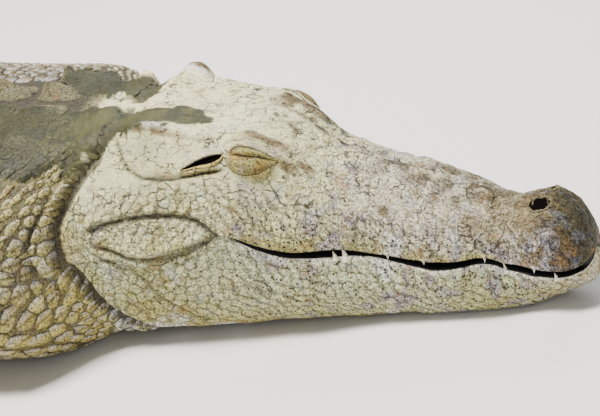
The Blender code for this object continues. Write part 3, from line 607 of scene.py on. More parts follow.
class Nodes:
    """Puts nodes into a tree and joins them, so that a finish reads as a list of steps."""

    def __init__(self, tree):
        self.tree = tree

    def add(self, kind, options=None, **inputs):
        node = self.tree.nodes.new(kind if kind.startswith("Node") else "ShaderNode" + kind)
        for name, value in (options or {}).items():
            setattr(node, name, value)
        for name, value in inputs.items():
            self.join(node, name.replace("_", " "), value)
        return node

    def join(self, node, name, value):
        socket = node.inputs[int(name)] if name.isdigit() else node.inputs[name]
        if isinstance(value, bpy.types.NodeSocket):
            self.tree.links.new(value, socket)
        else:
            socket.default_value = value

    def math(self, operation, first, second=0.0, third=0.0):
        node = self.add("Math", {"operation": operation})
        for i, value in enumerate((first, second, third)):
            self.join(node, str(i), value)
        return node.outputs[0]

    def product(self, first, *others):
        for other in others:
            first = self.math("MULTIPLY", first, other)
        return first

    def step(self, value, low, high, start=0.0, end=1.0):
        node = self.add("MapRange", {"interpolation_type": "SMOOTHSTEP"})
        for name, part in (("Value", value), ("From Min", low), ("From Max", high), ("To Min", start),
                           ("To Max", end)):
            self.join(node, name, part)
        return node.outputs[0]

    def mix(self, share, first, second, blend="MIX"):
        node = self.add("Mix", {"data_type": "RGBA", "blend_type": blend})
        for name, value in (("0", share), ("6", first), ("7", second)):
            self.join(node, name, value)
        return node.outputs[2]

    def noise(self, place, scale, detail=3.0, roughness=.55):
        texture = self.add("TexNoise", Vector=place, Scale=scale, Detail=detail, Roughness=roughness)
        return texture.outputs["Fac"]

    def cells(self, place, scale, feature="DISTANCE_TO_EDGE"):
        return self.add("TexVoronoi", {"feature": feature}, Vector=place, Scale=scale)


weathering_and_painted_light = bpy.data.node_groups.new("weathered_skin_and_painted_light", "ShaderNodeTree")
MARKS = ("Crust", "Pits", "Mud", "Gap", "Chalk")
sockets(weathering_and_painted_light, (("Pigment", "Color"), *((mark, "Float") for mark in MARKS)),
        (("Color", "Color"), ("Roughness", "Float"), ("Height", "Float")))
make = Nodes(weathering_and_painted_light)
given = make.add("NodeGroupInput").outputs
place = make.add("TexCoord").outputs["Object"]
warp = make.add("TexNoise", Vector=place, Scale=75.0, Detail=3.0).outputs["Color"]
warped = make.add("VectorMath", {"operation": "MULTIPLY_ADD"})
make.join(warped, "0", warp)
warped.inputs[1].default_value = (.010, .010, .010)
make.join(warped, "2", place)
warped = warped.outputs[0]
grain = make.noise(place, 950.0, 2.0)
lumps = make.noise(place, 210.0, 4.0, .6)
stain = make.noise(place, 34.0, 4.0, .6)
speckle = make.noise(place, 430.0, 3.0, .7)
long_way = make.add("Mapping", Vector=warped, Scale=(48.0, 105.0, 105.0)).outputs[0]
crazed = make.step(make.cells(warped, 40.0).outputs["Distance"], 0.0, .040, 1.0, 0.0)
crazed = make.product(crazed, make.step(stain, .49, .58), given["Crust"])
hairline = make.step(make.cells(long_way, 1.0).outputs["Distance"], 0.0, .050, 1.0, 0.0)
broken = make.step(make.noise(place, 58.0, 2.0), .53, .62)
hairline = make.product(hairline, broken, make.math("ADD", given["Crust"], .10))
dots = make.cells(place, 172.0, "F1")
picked = make.step(make.add("SeparateColor", Color=dots.outputs["Color"]).outputs[0], .16, .20)
dot = make.product(make.step(dots.outputs["Distance"], .20, .27, 1.0, 0.0), picked, given["Pits"])
rough_part = make.math("MULTIPLY_ADD", given["Chalk"], -.70, 1.0)
speckled = make.product(make.step(speckle, .46, .62, .0, .90), rough_part)
colour = make.mix(speckled, given["Pigment"], (*paint(108, 100, 74), 1), "MULTIPLY")
# Painted highlights: the speckle's pale side is laid on in soft light as small white highlights.
colour = make.mix(make.step(speckle, .50, .30, .0, .55), colour, (*paint(240, 238, 226), 1), "SOFT_LIGHT")
lumped = make.product(make.step(lumps, .48, .66, 0.0, .70), rough_part)
colour = make.mix(lumped, colour, (*paint(128, 118, 84), 1), "MULTIPLY")
pale = make.step(make.add("RGBToBW", Color=given["Pigment"]).outputs[0], .03, .28)
pale = make.product(pale, make.math("SUBTRACT", 1.0, given["Mud"]))
# Painted sky sheen: lilac patches laid over the pale skin.
lilac = make.product(make.step(make.noise(warped, 60.0, 3.0), .56, .70, 0.0, .36), pale)
tan = make.product(make.step(make.noise(warped, 47.0, 3.0), .56, .68, 0.0, .50), pale)
colour = make.mix(lilac, colour, (*paint(132, 128, 158), 1))
colour = make.mix(tan, colour, (*paint(138, 108, 60), 1))
streak_way = make.add("Mapping", Vector=place, Scale=(70.0, 300.0, 300.0)).outputs[0]
streaks = make.step(make.add("TexNoise", Vector=streak_way, Scale=1.0, Detail=3.0).outputs["Fac"], .57, .66)
streaks = make.product(streaks, given["Crust"], make.step(stain, .40, .56), .85)
colour = make.mix(streaks, colour, (*paint(66, 58, 40), 1))
lines = make.math("MAXIMUM", crazed, make.product(hairline, .85))
colour = make.mix(lines, colour, (*paint(46, 40, 29), 1))
colour = make.mix(dot, colour, (*paint(18, 16, 16), 1))
colour = make.mix(given["Gap"], colour, (*paint(28, 22, 22), 1))
height = make.product(lumps, .55)
for part, share in ((grain, .12), (speckle, .22), (crazed, -.60), (hairline, -.28), (dot, -.45)):
    height = make.math("MULTIPLY_ADD", part, share, height)
rough = make.math("MULTIPLY_ADD", given["Mud"], -.22, make.step(lumps, .3, .7, .74, .90))
out = make.add("NodeGroupOutput")
for name, value in (("Color", colour), ("Roughness", rough), ("Height", height)):
    make.join(out, name, value)


def new_finish(name):
    finish = bpy.data.materials.new(name)
    finish.use_nodes = True
    return finish, Nodes(finish.node_tree), finish.node_tree.nodes["Principled BSDF"]


def skin_finish(name, bump, deep=.0016):
    """A material of hide or scales, which reads its markings from the mesh."""
    finish, nodes, surface = new_finish(name)
    weather = nodes.add("Group", {"node_tree": weathering_and_painted_light})
    for name, source in (("Pigment", "Color"), *((mark, "Fac") for mark in MARKS)):
        reader = nodes.add("Attribute", {"attribute_name": name.lower()})
        nodes.join(weather, name, reader.outputs[source])
    relief = nodes.add("Bump", Height=weather.outputs["Height"], Strength=bump, Distance=deep)
    nodes.join(surface, "Base Color", weather.outputs["Color"])
    nodes.join(surface, "Roughness", weather.outputs["Roughness"])
    nodes.join(surface, "Normal", relief.outputs[0])
    surface.inputs["Specular IOR Level"].default_value = .35
    return finish


hide.data.materials.append(skin_finish("weathered_hide", .9))
print("hide triangles", sum(len(f.vertices) - 2 for f in hide.data.polygons))

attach(hide, "root")
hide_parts(*[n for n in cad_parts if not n.startswith("eye") and "claw" not in n])

# ================================================================================================
# Eyeballs: glossy globes of amber with an upright slit pupil, sunk in the skull behind lids that are
# all but shut. In a museum model each is a cast glass eye set in from behind.
# ================================================================================================
EYEBALL = .0135
SIDES = ((1, "left"), (-1, "right"))
glass, nodes, surface = new_finish("glass_eye")
iris = nodes.add("Attribute", {"attribute_name": "from_pupil"}).outputs["Fac"]
fibres = nodes.noise(nodes.add("TexCoord").outputs["Object"], 900.0, 3.0)
amber = nodes.mix(nodes.step(fibres, .35, .65), (*paint(150, 118, 50), 1), (*paint(96, 84, 40), 1))
amber = nodes.mix(nodes.step(iris, .10, .16), (*paint(8, 8, 8), 1), amber)
nodes.join(surface, "Base Color", nodes.mix(nodes.step(iris, .80, .95), amber, (*paint(52, 46, 34), 1)))
surface.inputs["Roughness"].default_value = .08
surface.inputs["Coat Weight"].default_value = .6

for side, word in SIDES:
    bpy.ops.object.select_all(action="DESELECT")
    bpy.ops.mesh.primitive_uv_sphere_add(segments=40, ring_count=24, radius=EYEBALL)
    eyeball = bpy.context.object
    eyeball.name = f"eyeball_{word}"
    bpy.ops.object.mode_set(mode="EDIT")
    bpy.ops.transform.resize(value=(1.5, 1, 1))
    bpy.ops.object.mode_set(mode="OBJECT")
    outward = np.array([0, *EYE_OUTWARD]) * [1, side, 1]
    centre = EYE_POINT * [1, side, 1] - outward * (EYEBALL - .0015)
    local = corners_of(eyeball)
    ahead = local @ outward
    around = np.stack([local[:, 0], local @ np.cross(outward, (1, 0, 0))], -1)
    from_pupil = np.hypot(around[:, 0] / 1.5 / .35, around[:, 1]) / EYEBALL + (ahead < 0)
    write = eyeball.data.attributes.new("from_pupil", "FLOAT", "POINT").data
    write.foreach_set("value", from_pupil.astype(np.float32))
    eyeball.data.vertices.foreach_set("co", (local + centre).ravel())
    bpy.ops.object.shade_smooth()
    eyeball.data.materials.append(glass)
    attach(eyeball, "root")
    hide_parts(f"eye_{word}")

# ================================================================================================
# Teeth: hollow cones of ivory, a little curved and ribbed, each set in its own socket along the jaw.
# The lips close over most of them, so only some tips show.
# ================================================================================================
# Teeth that show: place in skull lengths, girth of the root, height, root radius, and 1 if it points up.
TEETH = ((.455, 3.0, .0120, .0052, 1), (.432, 3.0, .0075, .0044, 1), (.812, 3.0, .0110, .0026, 1),
         (.555, 4.0, .0062, .0030, -1), (.775, 4.0, .0070, .0028, -1), (.885, 4.0, .0062, .0030, -1),
         (.640, 4.0, .0055, .0030, -1), (.930, 3.0, .0066, .0030, 1))
bpy.ops.object.select_all(action="DESELECT")
bpy.ops.mesh.primitive_cone_add(vertices=14, radius1=1, radius2=.10, depth=1.6, end_fill_type="NGON")
tooth_blank = bpy.context.object


def cut_across(blank, cuts, steep):
    """Cuts the edges that climb by more than steep, and leaves only triangles."""
    z = corners_of(blank)[:, 2]
    choose("EDGE", [abs(z[edge.vertices[0]] - z[edge.vertices[1]]) > steep for edge in blank.data.edges])
    bpy.ops.mesh.subdivide(number_cuts=cuts)
    bpy.ops.mesh.select_all(action="SELECT")
    bpy.ops.mesh.quads_convert_to_tris()
    bpy.ops.object.mode_set(mode="OBJECT")


cut_across(tooth_blank, 4, 1)
cone = corners_of(tooth_blank) + [0, 0, .2]


def copied(blank, name, points, turned=False):
    """One piece of copies of the blank, whose corners lie at the points, one row for each copy."""
    faces = np.array([face.vertices for face in blank.data.polygons])
    faces = faces[:, ::-1] if turned else faces
    starts = np.arange(len(points)) * len(blank.data.vertices)
    bpy.ops.object.select_all(action="DESELECT")
    blank.select_set(True)
    bpy.context.view_layer.objects.active = blank
    bpy.ops.object.duplicate()
    piece = bpy.context.object
    piece.name = name
    piece.data.clear_geometry()
    piece.data.from_pydata(points.reshape(-1, 3).tolist(), [],
                           (faces[None] + starts[:, None, None]).reshape(-1, 3).tolist())
    return piece


ivory, nodes, surface = new_finish("ivory")
place = nodes.add("TexCoord").outputs["Object"]
stain = nodes.step(nodes.noise(place, 420.0, 3.0), .40, .68)
nodes.join(surface, "Base Color", nodes.mix(stain, (*paint(238, 233, 214), 1), (*paint(196, 180, 132), 1)))
ribs = nodes.add("Bump", Height=nodes.noise(place, 1800.0), Strength=.2, Distance=.0004)
nodes.join(surface, "Normal", ribs.outputs[0])
surface.inputs["Roughness"].default_value = .32

for side, word in SIDES:
    points = []
    for h, girth, high, radius, up in TEETH:
        swell = 1 - .35 * np.clip(cone[:, 2], 0, 1) ** 2
        root = hide_place([SKULL_X + h * HEAD], [side * girth])[0]
        inner = hide_place([SKULL_X + h * HEAD], [side * (girth + .024 * up)])[0]
        root = root + (inner - root) * .6
        spot = cone * [radius, radius, high * up] * np.stack([swell, swell, np.ones(len(cone))], -1)
        spot[:, 0] -= .12 * spot[:, 2] ** 2 / high
        spot[:, 1] += side * .10 * np.abs(spot[:, 2])
        points.append(spot + root)
    teeth = copied(tooth_blank, f"teeth_{word}", np.array(points))
    close_up()
    bpy.ops.object.shade_smooth_by_angle(angle=1.0)
    teeth.data.materials.append(ivory)
    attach(teeth, "root")
bpy.data.objects.remove(tooth_blank)

# ================================================================================================
# Scales of the jaws and cheeks: small flat horny plates of many sides that meet in dark creases.
# Each grows from the hide below it. All scales start from one or other blank, modelled once, which
# is copied to every root and takes the outline that its neighbours leave it.
# ================================================================================================
SPOKES = 12


def scale_blank(name, insets):
    """A closed disc of radius 1 with a soft top: each inset is (width of the band, its rise)."""
    bpy.ops.object.select_all(action="DESELECT")
    bpy.ops.mesh.primitive_cylinder_add(vertices=SPOKES, radius=1, depth=.7, location=(0, 0, -.25))
    bpy.ops.object.transform_apply(location=True)
    blank = bpy.context.object
    blank.name = name
    choose("FACE", [face.normal.z > .9 for face in blank.data.polygons])
    for width, rise in insets:
        bpy.ops.mesh.inset(thickness=width, depth=rise)
    bpy.ops.mesh.poke(offset=insets[-1][1] * .3)
    bpy.ops.mesh.select_all(action="SELECT")
    bpy.ops.mesh.quads_convert_to_tris()
    bpy.ops.object.mode_set(mode="OBJECT")
    return blank


def bare_place(x, g):
    """A point of the hide without its folds, in the frame of the straight spine."""
    side, level = side_and_level(g)
    return on_side(flank_place(x, level)[0], side)


def spread_roots(spacing, spine, girth, seed, stretch=1.0, tries=26000, place=bare_place):
    """Roots at random with no two nearer than the spacing there: arrays of spine place and girth."""
    dice = np.random.default_rng(seed)
    x, g = dice.uniform(*spine, tries), dice.uniform(*girth, tries)
    point = place(x, g) * [1 / stretch, 1, 1]
    apart = spacing(x, g)
    cell = np.nanmax(np.where(apart > 0, apart, np.nan))
    shelves, kept = {}, []
    for i in np.where(apart > 0)[0]:
        key = tuple(np.floor(point[i] / cell).astype(int))
        near = [j for a in (-1, 0, 1) for b in (-1, 0, 1) for c in (-1, 0, 1)
                for j in shelves.get((key[0] + a, key[1] + b, key[2] + c), ())]
        if all(((point[i] - point[j]) ** 2).sum() > (apart[i] * .5 + apart[j] * .5) ** 2 for j in near):
            shelves.setdefault(key, []).append(i)
            kept.append(i)
    return x[kept], g[kept]


FOLD_SAMPLES = {name: (fold_points(fold[3], 90), along(list(enumerate(np.array(fold[3])[:, 1])),
                                                   np.linspace(0, len(fold[3]) - 1, 90)))
                for name, fold in FOLDS.items()}


def outlines(place, x, g, stretch, folded, reach=14):
    """For each root: metres per step of x and of g, and its half width towards each spoke. Scales
    stop at their neighbours and, where folded, at the folds of the skin."""
    small = .002
    here = place(x, g)
    along_x, along_g = place(x + small, g) - place(x - small, g), place(x, g + small) - place(x, g - small)
    by_x, by_g = (np.linalg.norm(run, axis=1) / (2 * small) for run in (along_x, along_g))
    along_x, along_g = along_x / by_x[:, None] / (2 * small), along_g / by_g[:, None] / (2 * small)
    tree = kdtree.KDTree(len(x))
    for i, point in enumerate(here):
        tree.insert(point, i)
    tree.balance()
    angle = np.arange(SPOKES) * 2 * np.pi / SPOKES
    spokes = np.stack([np.cos(angle), np.sin(angle)], -1)
    half = np.full((len(x), SPOKES), 1e-4)
    for i, point in enumerate(here):
        near = [j for _, j, _ in tree.find_n(point, reach) if j != i]
        run = here[near] - point
        dx, dg = run @ along_x[i] / stretch, run @ along_g[i]
        apart = np.hypot(dx, dg)
        lean = spokes @ np.stack([dx, dg]) / apart
        push = np.clip(lean, 1e-3, None) / (apart / 2)
        half[i] = 1 / (push ** 14).sum(1) ** (1 / 14)
    if folded:
        side, level = side_and_level(g)
        flank = flank_place(x, level)[0]
        for line, line_g in FOLD_SAMPLES.values():
            away = np.linalg.norm(flank[:, None] - line, axis=2)
            nearest = away.argmin(1)
            dx = (line[nearest, 0] - x) * by_x / stretch
            dg = (line_g[nearest] - level) * side * by_g
            apart = np.maximum(away.min(1), 1e-4)
            lean = np.clip((spokes @ np.stack([dx, dg]) / np.maximum(np.hypot(dx, dg), 1e-4)).T, 1e-3, None)
            stop = np.where(apart < .03, np.maximum(apart - .0006, .0006), 9.0)[:, None] / lean
            half = np.minimum(half, stop)
    return by_x, by_g, half


def bake_map(piece, blank, x, g, patch=.0014):
    """The coat's map for baking, where each copy of the blank is a small patch at its root's place."""
    corners = corners_of(blank)[:, :2] * patch
    base = np.stack([(x - x.min()) / max(np.ptp(x), .1), (g - g.min()) / max(np.ptp(g), .1)], -1)
    uv = np.repeat(base, len(corners), 0) * .99 + .005 + np.tile(corners, (len(x), 1))
    loops = np.empty(len(piece.data.loops), np.int32)
    piece.data.loops.foreach_get("vertex_index", loops)
    piece.data.uv_layers.new(name="OFBake").data.foreach_set("uv", uv[loops].astype(np.float32).ravel())


def ride_as_skin(piece, count, kind):
    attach(piece, "root")
    print(piece.name, count, kind, len(piece.data.polygons), "triangles")


def lay_scales(name, blank, place, x, g, high, gap, seed, stretch=1.0, most=.03, limit=None, folded=False):
    """One mesh with a copy of the blank at every root. high and gap are in metres, and most is the
    widest half width. Returns the piece with the spine place, girth, height share and root of each
    vertex."""
    dice = np.random.default_rng(seed)
    by_x, by_g, half = outlines(place, x, g, stretch, folded)
    half = np.maximum(np.minimum(half, most) - gap / 2, .0008)
    by_g = np.maximum(by_g, .012)
    shape = corners_of(blank)
    out = np.hypot(shape[:, 0], shape[:, 1])
    angle = np.arctan2(shape[:, 1], shape[:, 0])
    spoke = np.round(angle / (2 * np.pi / SPOKES)).astype(int) % SPOKES
    reach = half[:, spoke] * out
    u, v = reach * np.cos(angle) * stretch, reach * np.sin(angle)
    high = np.asarray(high) * np.ones(len(x)) * dice.uniform(.80, 1.10, len(x))
    tilt = dice.normal(0, .12, (2, len(x), 1))
    leaning = np.where(shape[:, 2] > 0, tilt[0] * u / .01 + tilt[1] * v / .01, 0)
    lift = high[:, None] * shape[:, 2] * (1 + leaning)
    at_x, at_g = x[:, None] + u / by_x[:, None], g[:, None] + v / by_g[:, None]
    if limit is not None:
        at_g = limit(at_x, at_g, g[:, None])
    at_x, at_g, lift = at_x.ravel(), at_g.ravel(), lift.ravel()
    points = place(at_x, at_g, lift).reshape(len(x), -1, 3)
    faces = np.array([face.vertices for face in blank.data.polygons])
    a, b, c = np.moveaxis((points - points.mean(1, keepdims=True))[:, faces], 2, 0)
    inside_out = (a * np.cross(b, c)).sum() < 0     # where the girth runs the other way round
    piece = copied(blank, name, points, inside_out)
    bake_map(piece, blank, x, g, .0015)
    bpy.ops.object.shade_smooth()
    rim = smooth_step(.80, 1.0, np.tile(out, len(x)))
    up = (shape[None, :, 1] * side_and_level(g)[0][:, None]).ravel()
    ride_as_skin(piece, len(x), "scales")
    return piece, at_x, at_g, rim, np.repeat(np.arange(len(x)), len(shape)), up


def finish_scales(laid, finish, seed, spread=.10, gap=.55, painted_bead_light=False):
    piece, x, g, rim, root, up = laid
    dice = np.random.default_rng(seed)
    tone = dice.normal(0, spread, root.max() + 1)[root]
    pitted = (dice.uniform(0, 1, root.max() + 1) > .45)[root] * (rim + np.abs(up) < .10)
    dress(piece, x, g, tone=tone, gap=rim * gap, up=up if painted_bead_light else None, heart=pitted)
    piece.data.materials.append(finish)


plate_blank = scale_blank("jaw_plate_blank", ((.14, .55), (.34, .30)))
scale_skin = skin_finish("weathered_scale", .8, .0012)


NECK_EDGE = ((0, 1, 1.57, 2.36, 3.2, 4.45, 4.78, 5.04, 5.28, 5.53, 5.85, 6.9, 8),
             (-.02, -.06, -.128, -.182, -.206, -.214, -.206, -.186, -.164, -.132, -.092, -.080, -.085))


def clear_of_neck_fold(x, level, inside):
    """Of the places inside, those far enough from the neck fold for a scale to stand."""
    line = FOLD_SAMPLES["neck"][0]
    inside = inside.copy()
    away = np.linalg.norm(bare_place(x[inside], level[inside])[:, None] - line, axis=2).min(1)
    inside[inside] = away > .0085
    return inside


def beyond(h, level, place, long, high, wide):
    """Outside an oval on the head, given by its place and half length, its girth and half width."""
    return ((h - place) / long) ** 2 + ((level - high) / wide) ** 2 > 1


def jaw_spacing(x, g):
    """Plates 8 mm apart at the lips to 11 mm on the lower jaw."""
    h, level = skull_lengths(x), np.abs(g)
    apart = .0092 + .0022 * hump(level, 2.2, .8) - .0014 * hump(level, 4.1, .25)
    apart = apart - .0018 * smooth_step(.88, .97, h)
    inside = (h > -.215) & (h < .985) & (level < 5.14)
    inside &= ~((level > 2.90) & (level < 4.08))
    inside &= beyond(h, level, .28, .095, 5.5, .52)
    inside &= h > np.interp(np.maximum(level, 1), *NECK_EDGE) + .004
    return np.where(clear_of_neck_fold(x, level, inside), apart, -1)


def off_the_lips(x, g, root):
    """Keeps a scale on its own side of the mouth; behind its corner the jaws meet without a gap."""
    h = skull_lengths(x)
    level, upper = np.abs(g), np.abs(root) + 0 * g > 3.5
    closed = np.where(upper, np.maximum(level, 4.03), np.minimum(level, 2.97))
    across = np.where(upper & (level < 4), level - .97, np.where(~upper & (level > 3), level + .97, level))
    return np.sign(g) * np.where(h > .20, closed, across)


jaw_x, jaw_g = spread_roots(jaw_spacing, (SKULL_X - .23 * HEAD, TIP_X - .01), (-5.35, 5.35), 11, tries=60000)
jaw_high = .0005 + .0006 * smooth_step(4.2, 3.0, np.abs(jaw_g))
laid = lay_scales("jaw_scales", plate_blank, hide_place, jaw_x, jaw_g, jaw_high, .0004, 12, most=.0105,
                  limit=off_the_lips, folded=True)
finish_scales(laid, scale_skin, 13, .05, .42)

# ================================================================================================
# Crust of the forehead and snout: the skin here is stretched thin over rough bone, and dried mud
# lies on it in broken flakes. The flakes are thin, lie along the head and part in ragged cracks.
# ================================================================================================
def crown_spacing(x, g):
    """Flakes 8 mm apart on the forehead to 6 mm on the snout, where the crust is not worn away."""
    h, level = skull_lengths(x), side_and_level(g)[1]
    apart = .0082 - .0022 * smooth_step(.55, .9, h)
    roots = flank_place(x, level)[0] + np.where(g > 8, .3, 0)[:, None]
    patchy = unevenness(roots * 1.3 + 5, .13, .025) + 1.1 * smooth_step(.60, .80, h) + .9 * (
        hump(h, .30, .07) * hump(level, 6.3, .40) + hump(h, .37, .05) * hump(level, 5.8, .3)
        + hump(h, .02, .06) * hump(level, 6.05, .3))
    inside = (h > -.055) & (h < .985) & (level >= 5.38) & (patchy > .50)
    inside &= beyond(h, level, .27, .105, 5.5, .46) & beyond(h, level, .10, .13, 5.5, .42)
    inside &= beyond(h, level, .905, .034, 6.95, .46)
    return np.where(inside, apart, -1)


crown_x, crown_g = spread_roots(crown_spacing, (SKULL_X - .06 * HEAD, TIP_X - .01), (5.1, 10.9), 31, 2.2,
                                90000)
crown_g = np.multiply(*side_and_level(crown_g))
laid = lay_scales("crown_crust", plate_blank, hide_place, crown_x, crown_g, .0009, .0003, 32, 2.2, .0052,
                  folded=True)
finish_scales(laid, scale_skin, 33, .07, .40)
bpy.data.objects.remove(plate_blank)

# ================================================================================================
# Scales of the neck and throat: domed horny beads in loose rows, small behind the jaw and large low
# on the side, with a thin dark crease round each. They grow from the loose hide of the neck.
# ================================================================================================
bead_blank = scale_blank("neck_bead_blank", ((.16, .42), (.34, .42)))
NECK_REAR = SHOULDER_X - .03


def neck_spacing(x, g):
    """Beads 7 to 10 mm apart behind the head, and up to 24 mm low on the side."""
    h, level = skull_lengths(x), np.abs(g)
    apart = .0150 + .0085 * hump(level, 2.6, 1.3) * smooth_step(-.20, -.30, h)
    apart = apart - .0055 * smooth_step(-.30, -.17, h) - .0030 * smooth_step(4.8, 5.6, level)
    apart = apart + .004 * smooth_step(1.2, .6, level)
    inside = (x > NECK_REAR - .01) & (h < np.interp(level, *NECK_EDGE) + .010) & (level < 7.0)
    return np.where(clear_of_neck_fold(x, level, inside), apart, -1)


neck_x, neck_g = spread_roots(neck_spacing, (NECK_REAR - .02, SKULL_X + .05), (-7.1, 7.1), 21, 1.22, 40000)
neck_high = .0030 + .0026 * smooth_step(.012, .028, neck_spacing(neck_x, neck_g))
laid = lay_scales("neck_scales", bead_blank, hide_place, neck_x, neck_g, neck_high, .0008, 22, 1.22, .019,
                  folded=True)
neck_skin = skin_finish("weathered_neck_scale", .7, .0014)
# The neck beads get a painted highlight on their upper halves and painted shade on their lower halves.
finish_scales(laid, neck_skin, 23, .12, .85, True)

# ================================================================================================
# Eyelids, ear flaps and nostril rims: rolls of bare soft skin over the openings of the head. The lids
# are shut on a thin line of painted shade, a very dark sheet of painted shadow fills the slit below the
# ear flap, and another marks the nostril's pit in a raised ring. Each is a closed flap, of skin or of painted
# shadow, that grows out of the hide.
# ================================================================================================
SLIT = ((.236, 5.61), (.258, 5.66), (.276, 5.67), (.288, 5.69), (.308, 5.73), (.318, 5.74), (.328, 5.76),
        (.340, 5.79))
UPPER_ARC = ((.236, 5.63), (.250, 5.78), (.262, 5.84), (.284, 5.86), (.300, 5.86), (.314, 5.84), (.326, 5.82),
             (.340, 5.80))
LOWER_ARC = ((.235, 5.59), (.234, 5.41), (.248, 5.32), (.262, 5.30), (.284, 5.35), (.298, 5.40), (.314, 5.52),
             (.328, 5.66), (.340, 5.79))
BROW_ARC = ((.226, 5.66), (.240, 5.86), (.260, 5.95), (.284, 5.98), (.308, 5.96), (.328, 5.90), (.346, 5.80))
EAR_TOP = ((.112, 5.26), (.136, 5.35), (.158, 5.43), (.176, 5.49), (.192, 5.54), (.207, 5.58), (.218, 5.60))
EAR_LOW = ((.112, 5.26), (.138, 5.31), (.160, 5.35), (.184, 5.385), (.202, 5.45), (.213, 5.53), (.218, 5.60))
FLAP_TOP = ((.112, 5.27), (.134, 5.45), (.156, 5.54), (.174, 5.60), (.196, 5.66), (.214, 5.67), (.226, 5.64))
EAR_LOBE = ((.112, 5.25), (.134, 5.27), (.158, 5.29), (.184, 5.31), (.206, 5.38), (.218, 5.48), (.222, 5.60))
NOSE_TOP = ((.878, 7.02), (.888, 7.36), (.902, 7.50), (.918, 7.40), (.930, 7.06))
NOSE_LOW = ((.878, 7.02), (.888, 6.66), (.904, 6.48), (.920, 6.68), (.930, 7.06))
NOSE_REAR_TOP = ((.868, 7.02), (.880, 7.50), (.902, 7.70), (.926, 7.56), (.940, 7.06))
NOSE_REAR_LOW = ((.868, 7.02), (.880, 6.50), (.904, 6.28), (.928, 6.48), (.940, 7.06))


def skin_flap(top, low, rise, fold_shade, rows=44, across=12):
    """A closed flap between two lines on the head, its outer face raised by rise(along, across)."""
    bpy.ops.object.select_all(action="DESELECT")
    bpy.ops.mesh.primitive_grid_add(x_subdivisions=2 * across, y_subdivisions=rows, size=2)
    flap = bpy.context.object
    flat = corners_of(flap)
    turn, s = (flat[:, 0] + 1) * across, (flat[:, 1] + 1) / 2
    upper = turn <= across
    t = np.where(upper, turn, 2 * across - turn) / across
    t = (1 - np.cos(np.pi * t)) / 2
    t = .5 + (t - .5) * smooth_step(0, .04, s) * smooth_step(1, .96, s)
    ends = [[along(list(zip(np.linspace(0, 1, len(line)), part)), s) for part in np.array(line).T]
            for line in (low, top)]
    h, level = ends[0][0] + (ends[1][0] - ends[0][0]) * t, ends[0][1] + (ends[1][1] - ends[0][1]) * t
    edge = (np.abs(flat[:, 0]) < 1e-5) | (np.abs(flat[:, 0]) > 1 - 1e-5)
    taper = smooth_step(0, .10, s) * smooth_step(1, .90, s)
    lift = np.where(upper & ~edge, rise(s, t) * taper, -.0022)
    lift = np.where((s < 1e-5) | (s > 1 - 1e-5), -.0022, lift)
    # Painted shade: each flap is painted dark along its edges, where it meets the skin and the lids close,
    # and in the wrinkles of the lower lid.
    crease_shade = smooth_step(.5, 1, -wrinkle(s, t)) * .5 * fold_shade
    dark = np.maximum(smooth_step(.16, .0, np.minimum(t, 1 - t)), crease_shade)
    return flap, SKULL_X + h * HEAD, level, lift, np.where(upper, dark, 1)


def wrinkle(s, t):
    """Waves across the lower lid that follow its lower edge, from -1 in a crease to 1."""
    return np.sin(2 * np.pi * (3.1 * t ** 1.1 + .22 * np.sin(4 * s))) * smooth_step(.95, .60, t)


def lid_rise(s, t):
    """The lower lid is full in the middle. t is 0 at its lower edge."""
    return .0034 * np.clip(4 * t * (1 - t), 0, 1) ** .45 + .0006 * wrinkle(s, t)


def roll(high, fullness=.6, base=0.0):
    """A rise like a rolled edge, high in the middle and back to base at both sides."""
    return lambda s, t: high * np.clip(4 * t * (1 - t), 0, 1) ** fullness + base


def level_floor(high):
    return lambda s, t: high + 0 * t


def ear_cover(s, t):
    """The ear flap stands off the skull along its free lower edge."""
    return .0040 * (1 - t) ** .7 * smooth_step(0, .10, t) + .0003


# Each flap: its top and bottom line, how it rises and what it is made of. The very dark sheets in the ear
# slit and the nostril are painted shadow.
FLAPS = ((UPPER_ARC, SLIT, roll(.0032, .5), "lid"), (SLIT, LOWER_ARC, lid_rise, "lid"),
         (BROW_ARC, UPPER_ARC, roll(.0026), "skin"), (EAR_TOP, EAR_LOW, level_floor(.0010), "shadow_sheet"),
         (FLAP_TOP, EAR_TOP, ear_cover, "skin"), (EAR_LOW, EAR_LOBE, roll(.0026, .6, .0002), "lobe"),
         (NOSE_TOP, NOSE_LOW, level_floor(.0006), "shadow_sheet"), (NOSE_REAR_TOP, NOSE_TOP, roll(.0022), "nose"),
         (NOSE_LOW, NOSE_REAR_LOW, roll(.0016), "nose"))
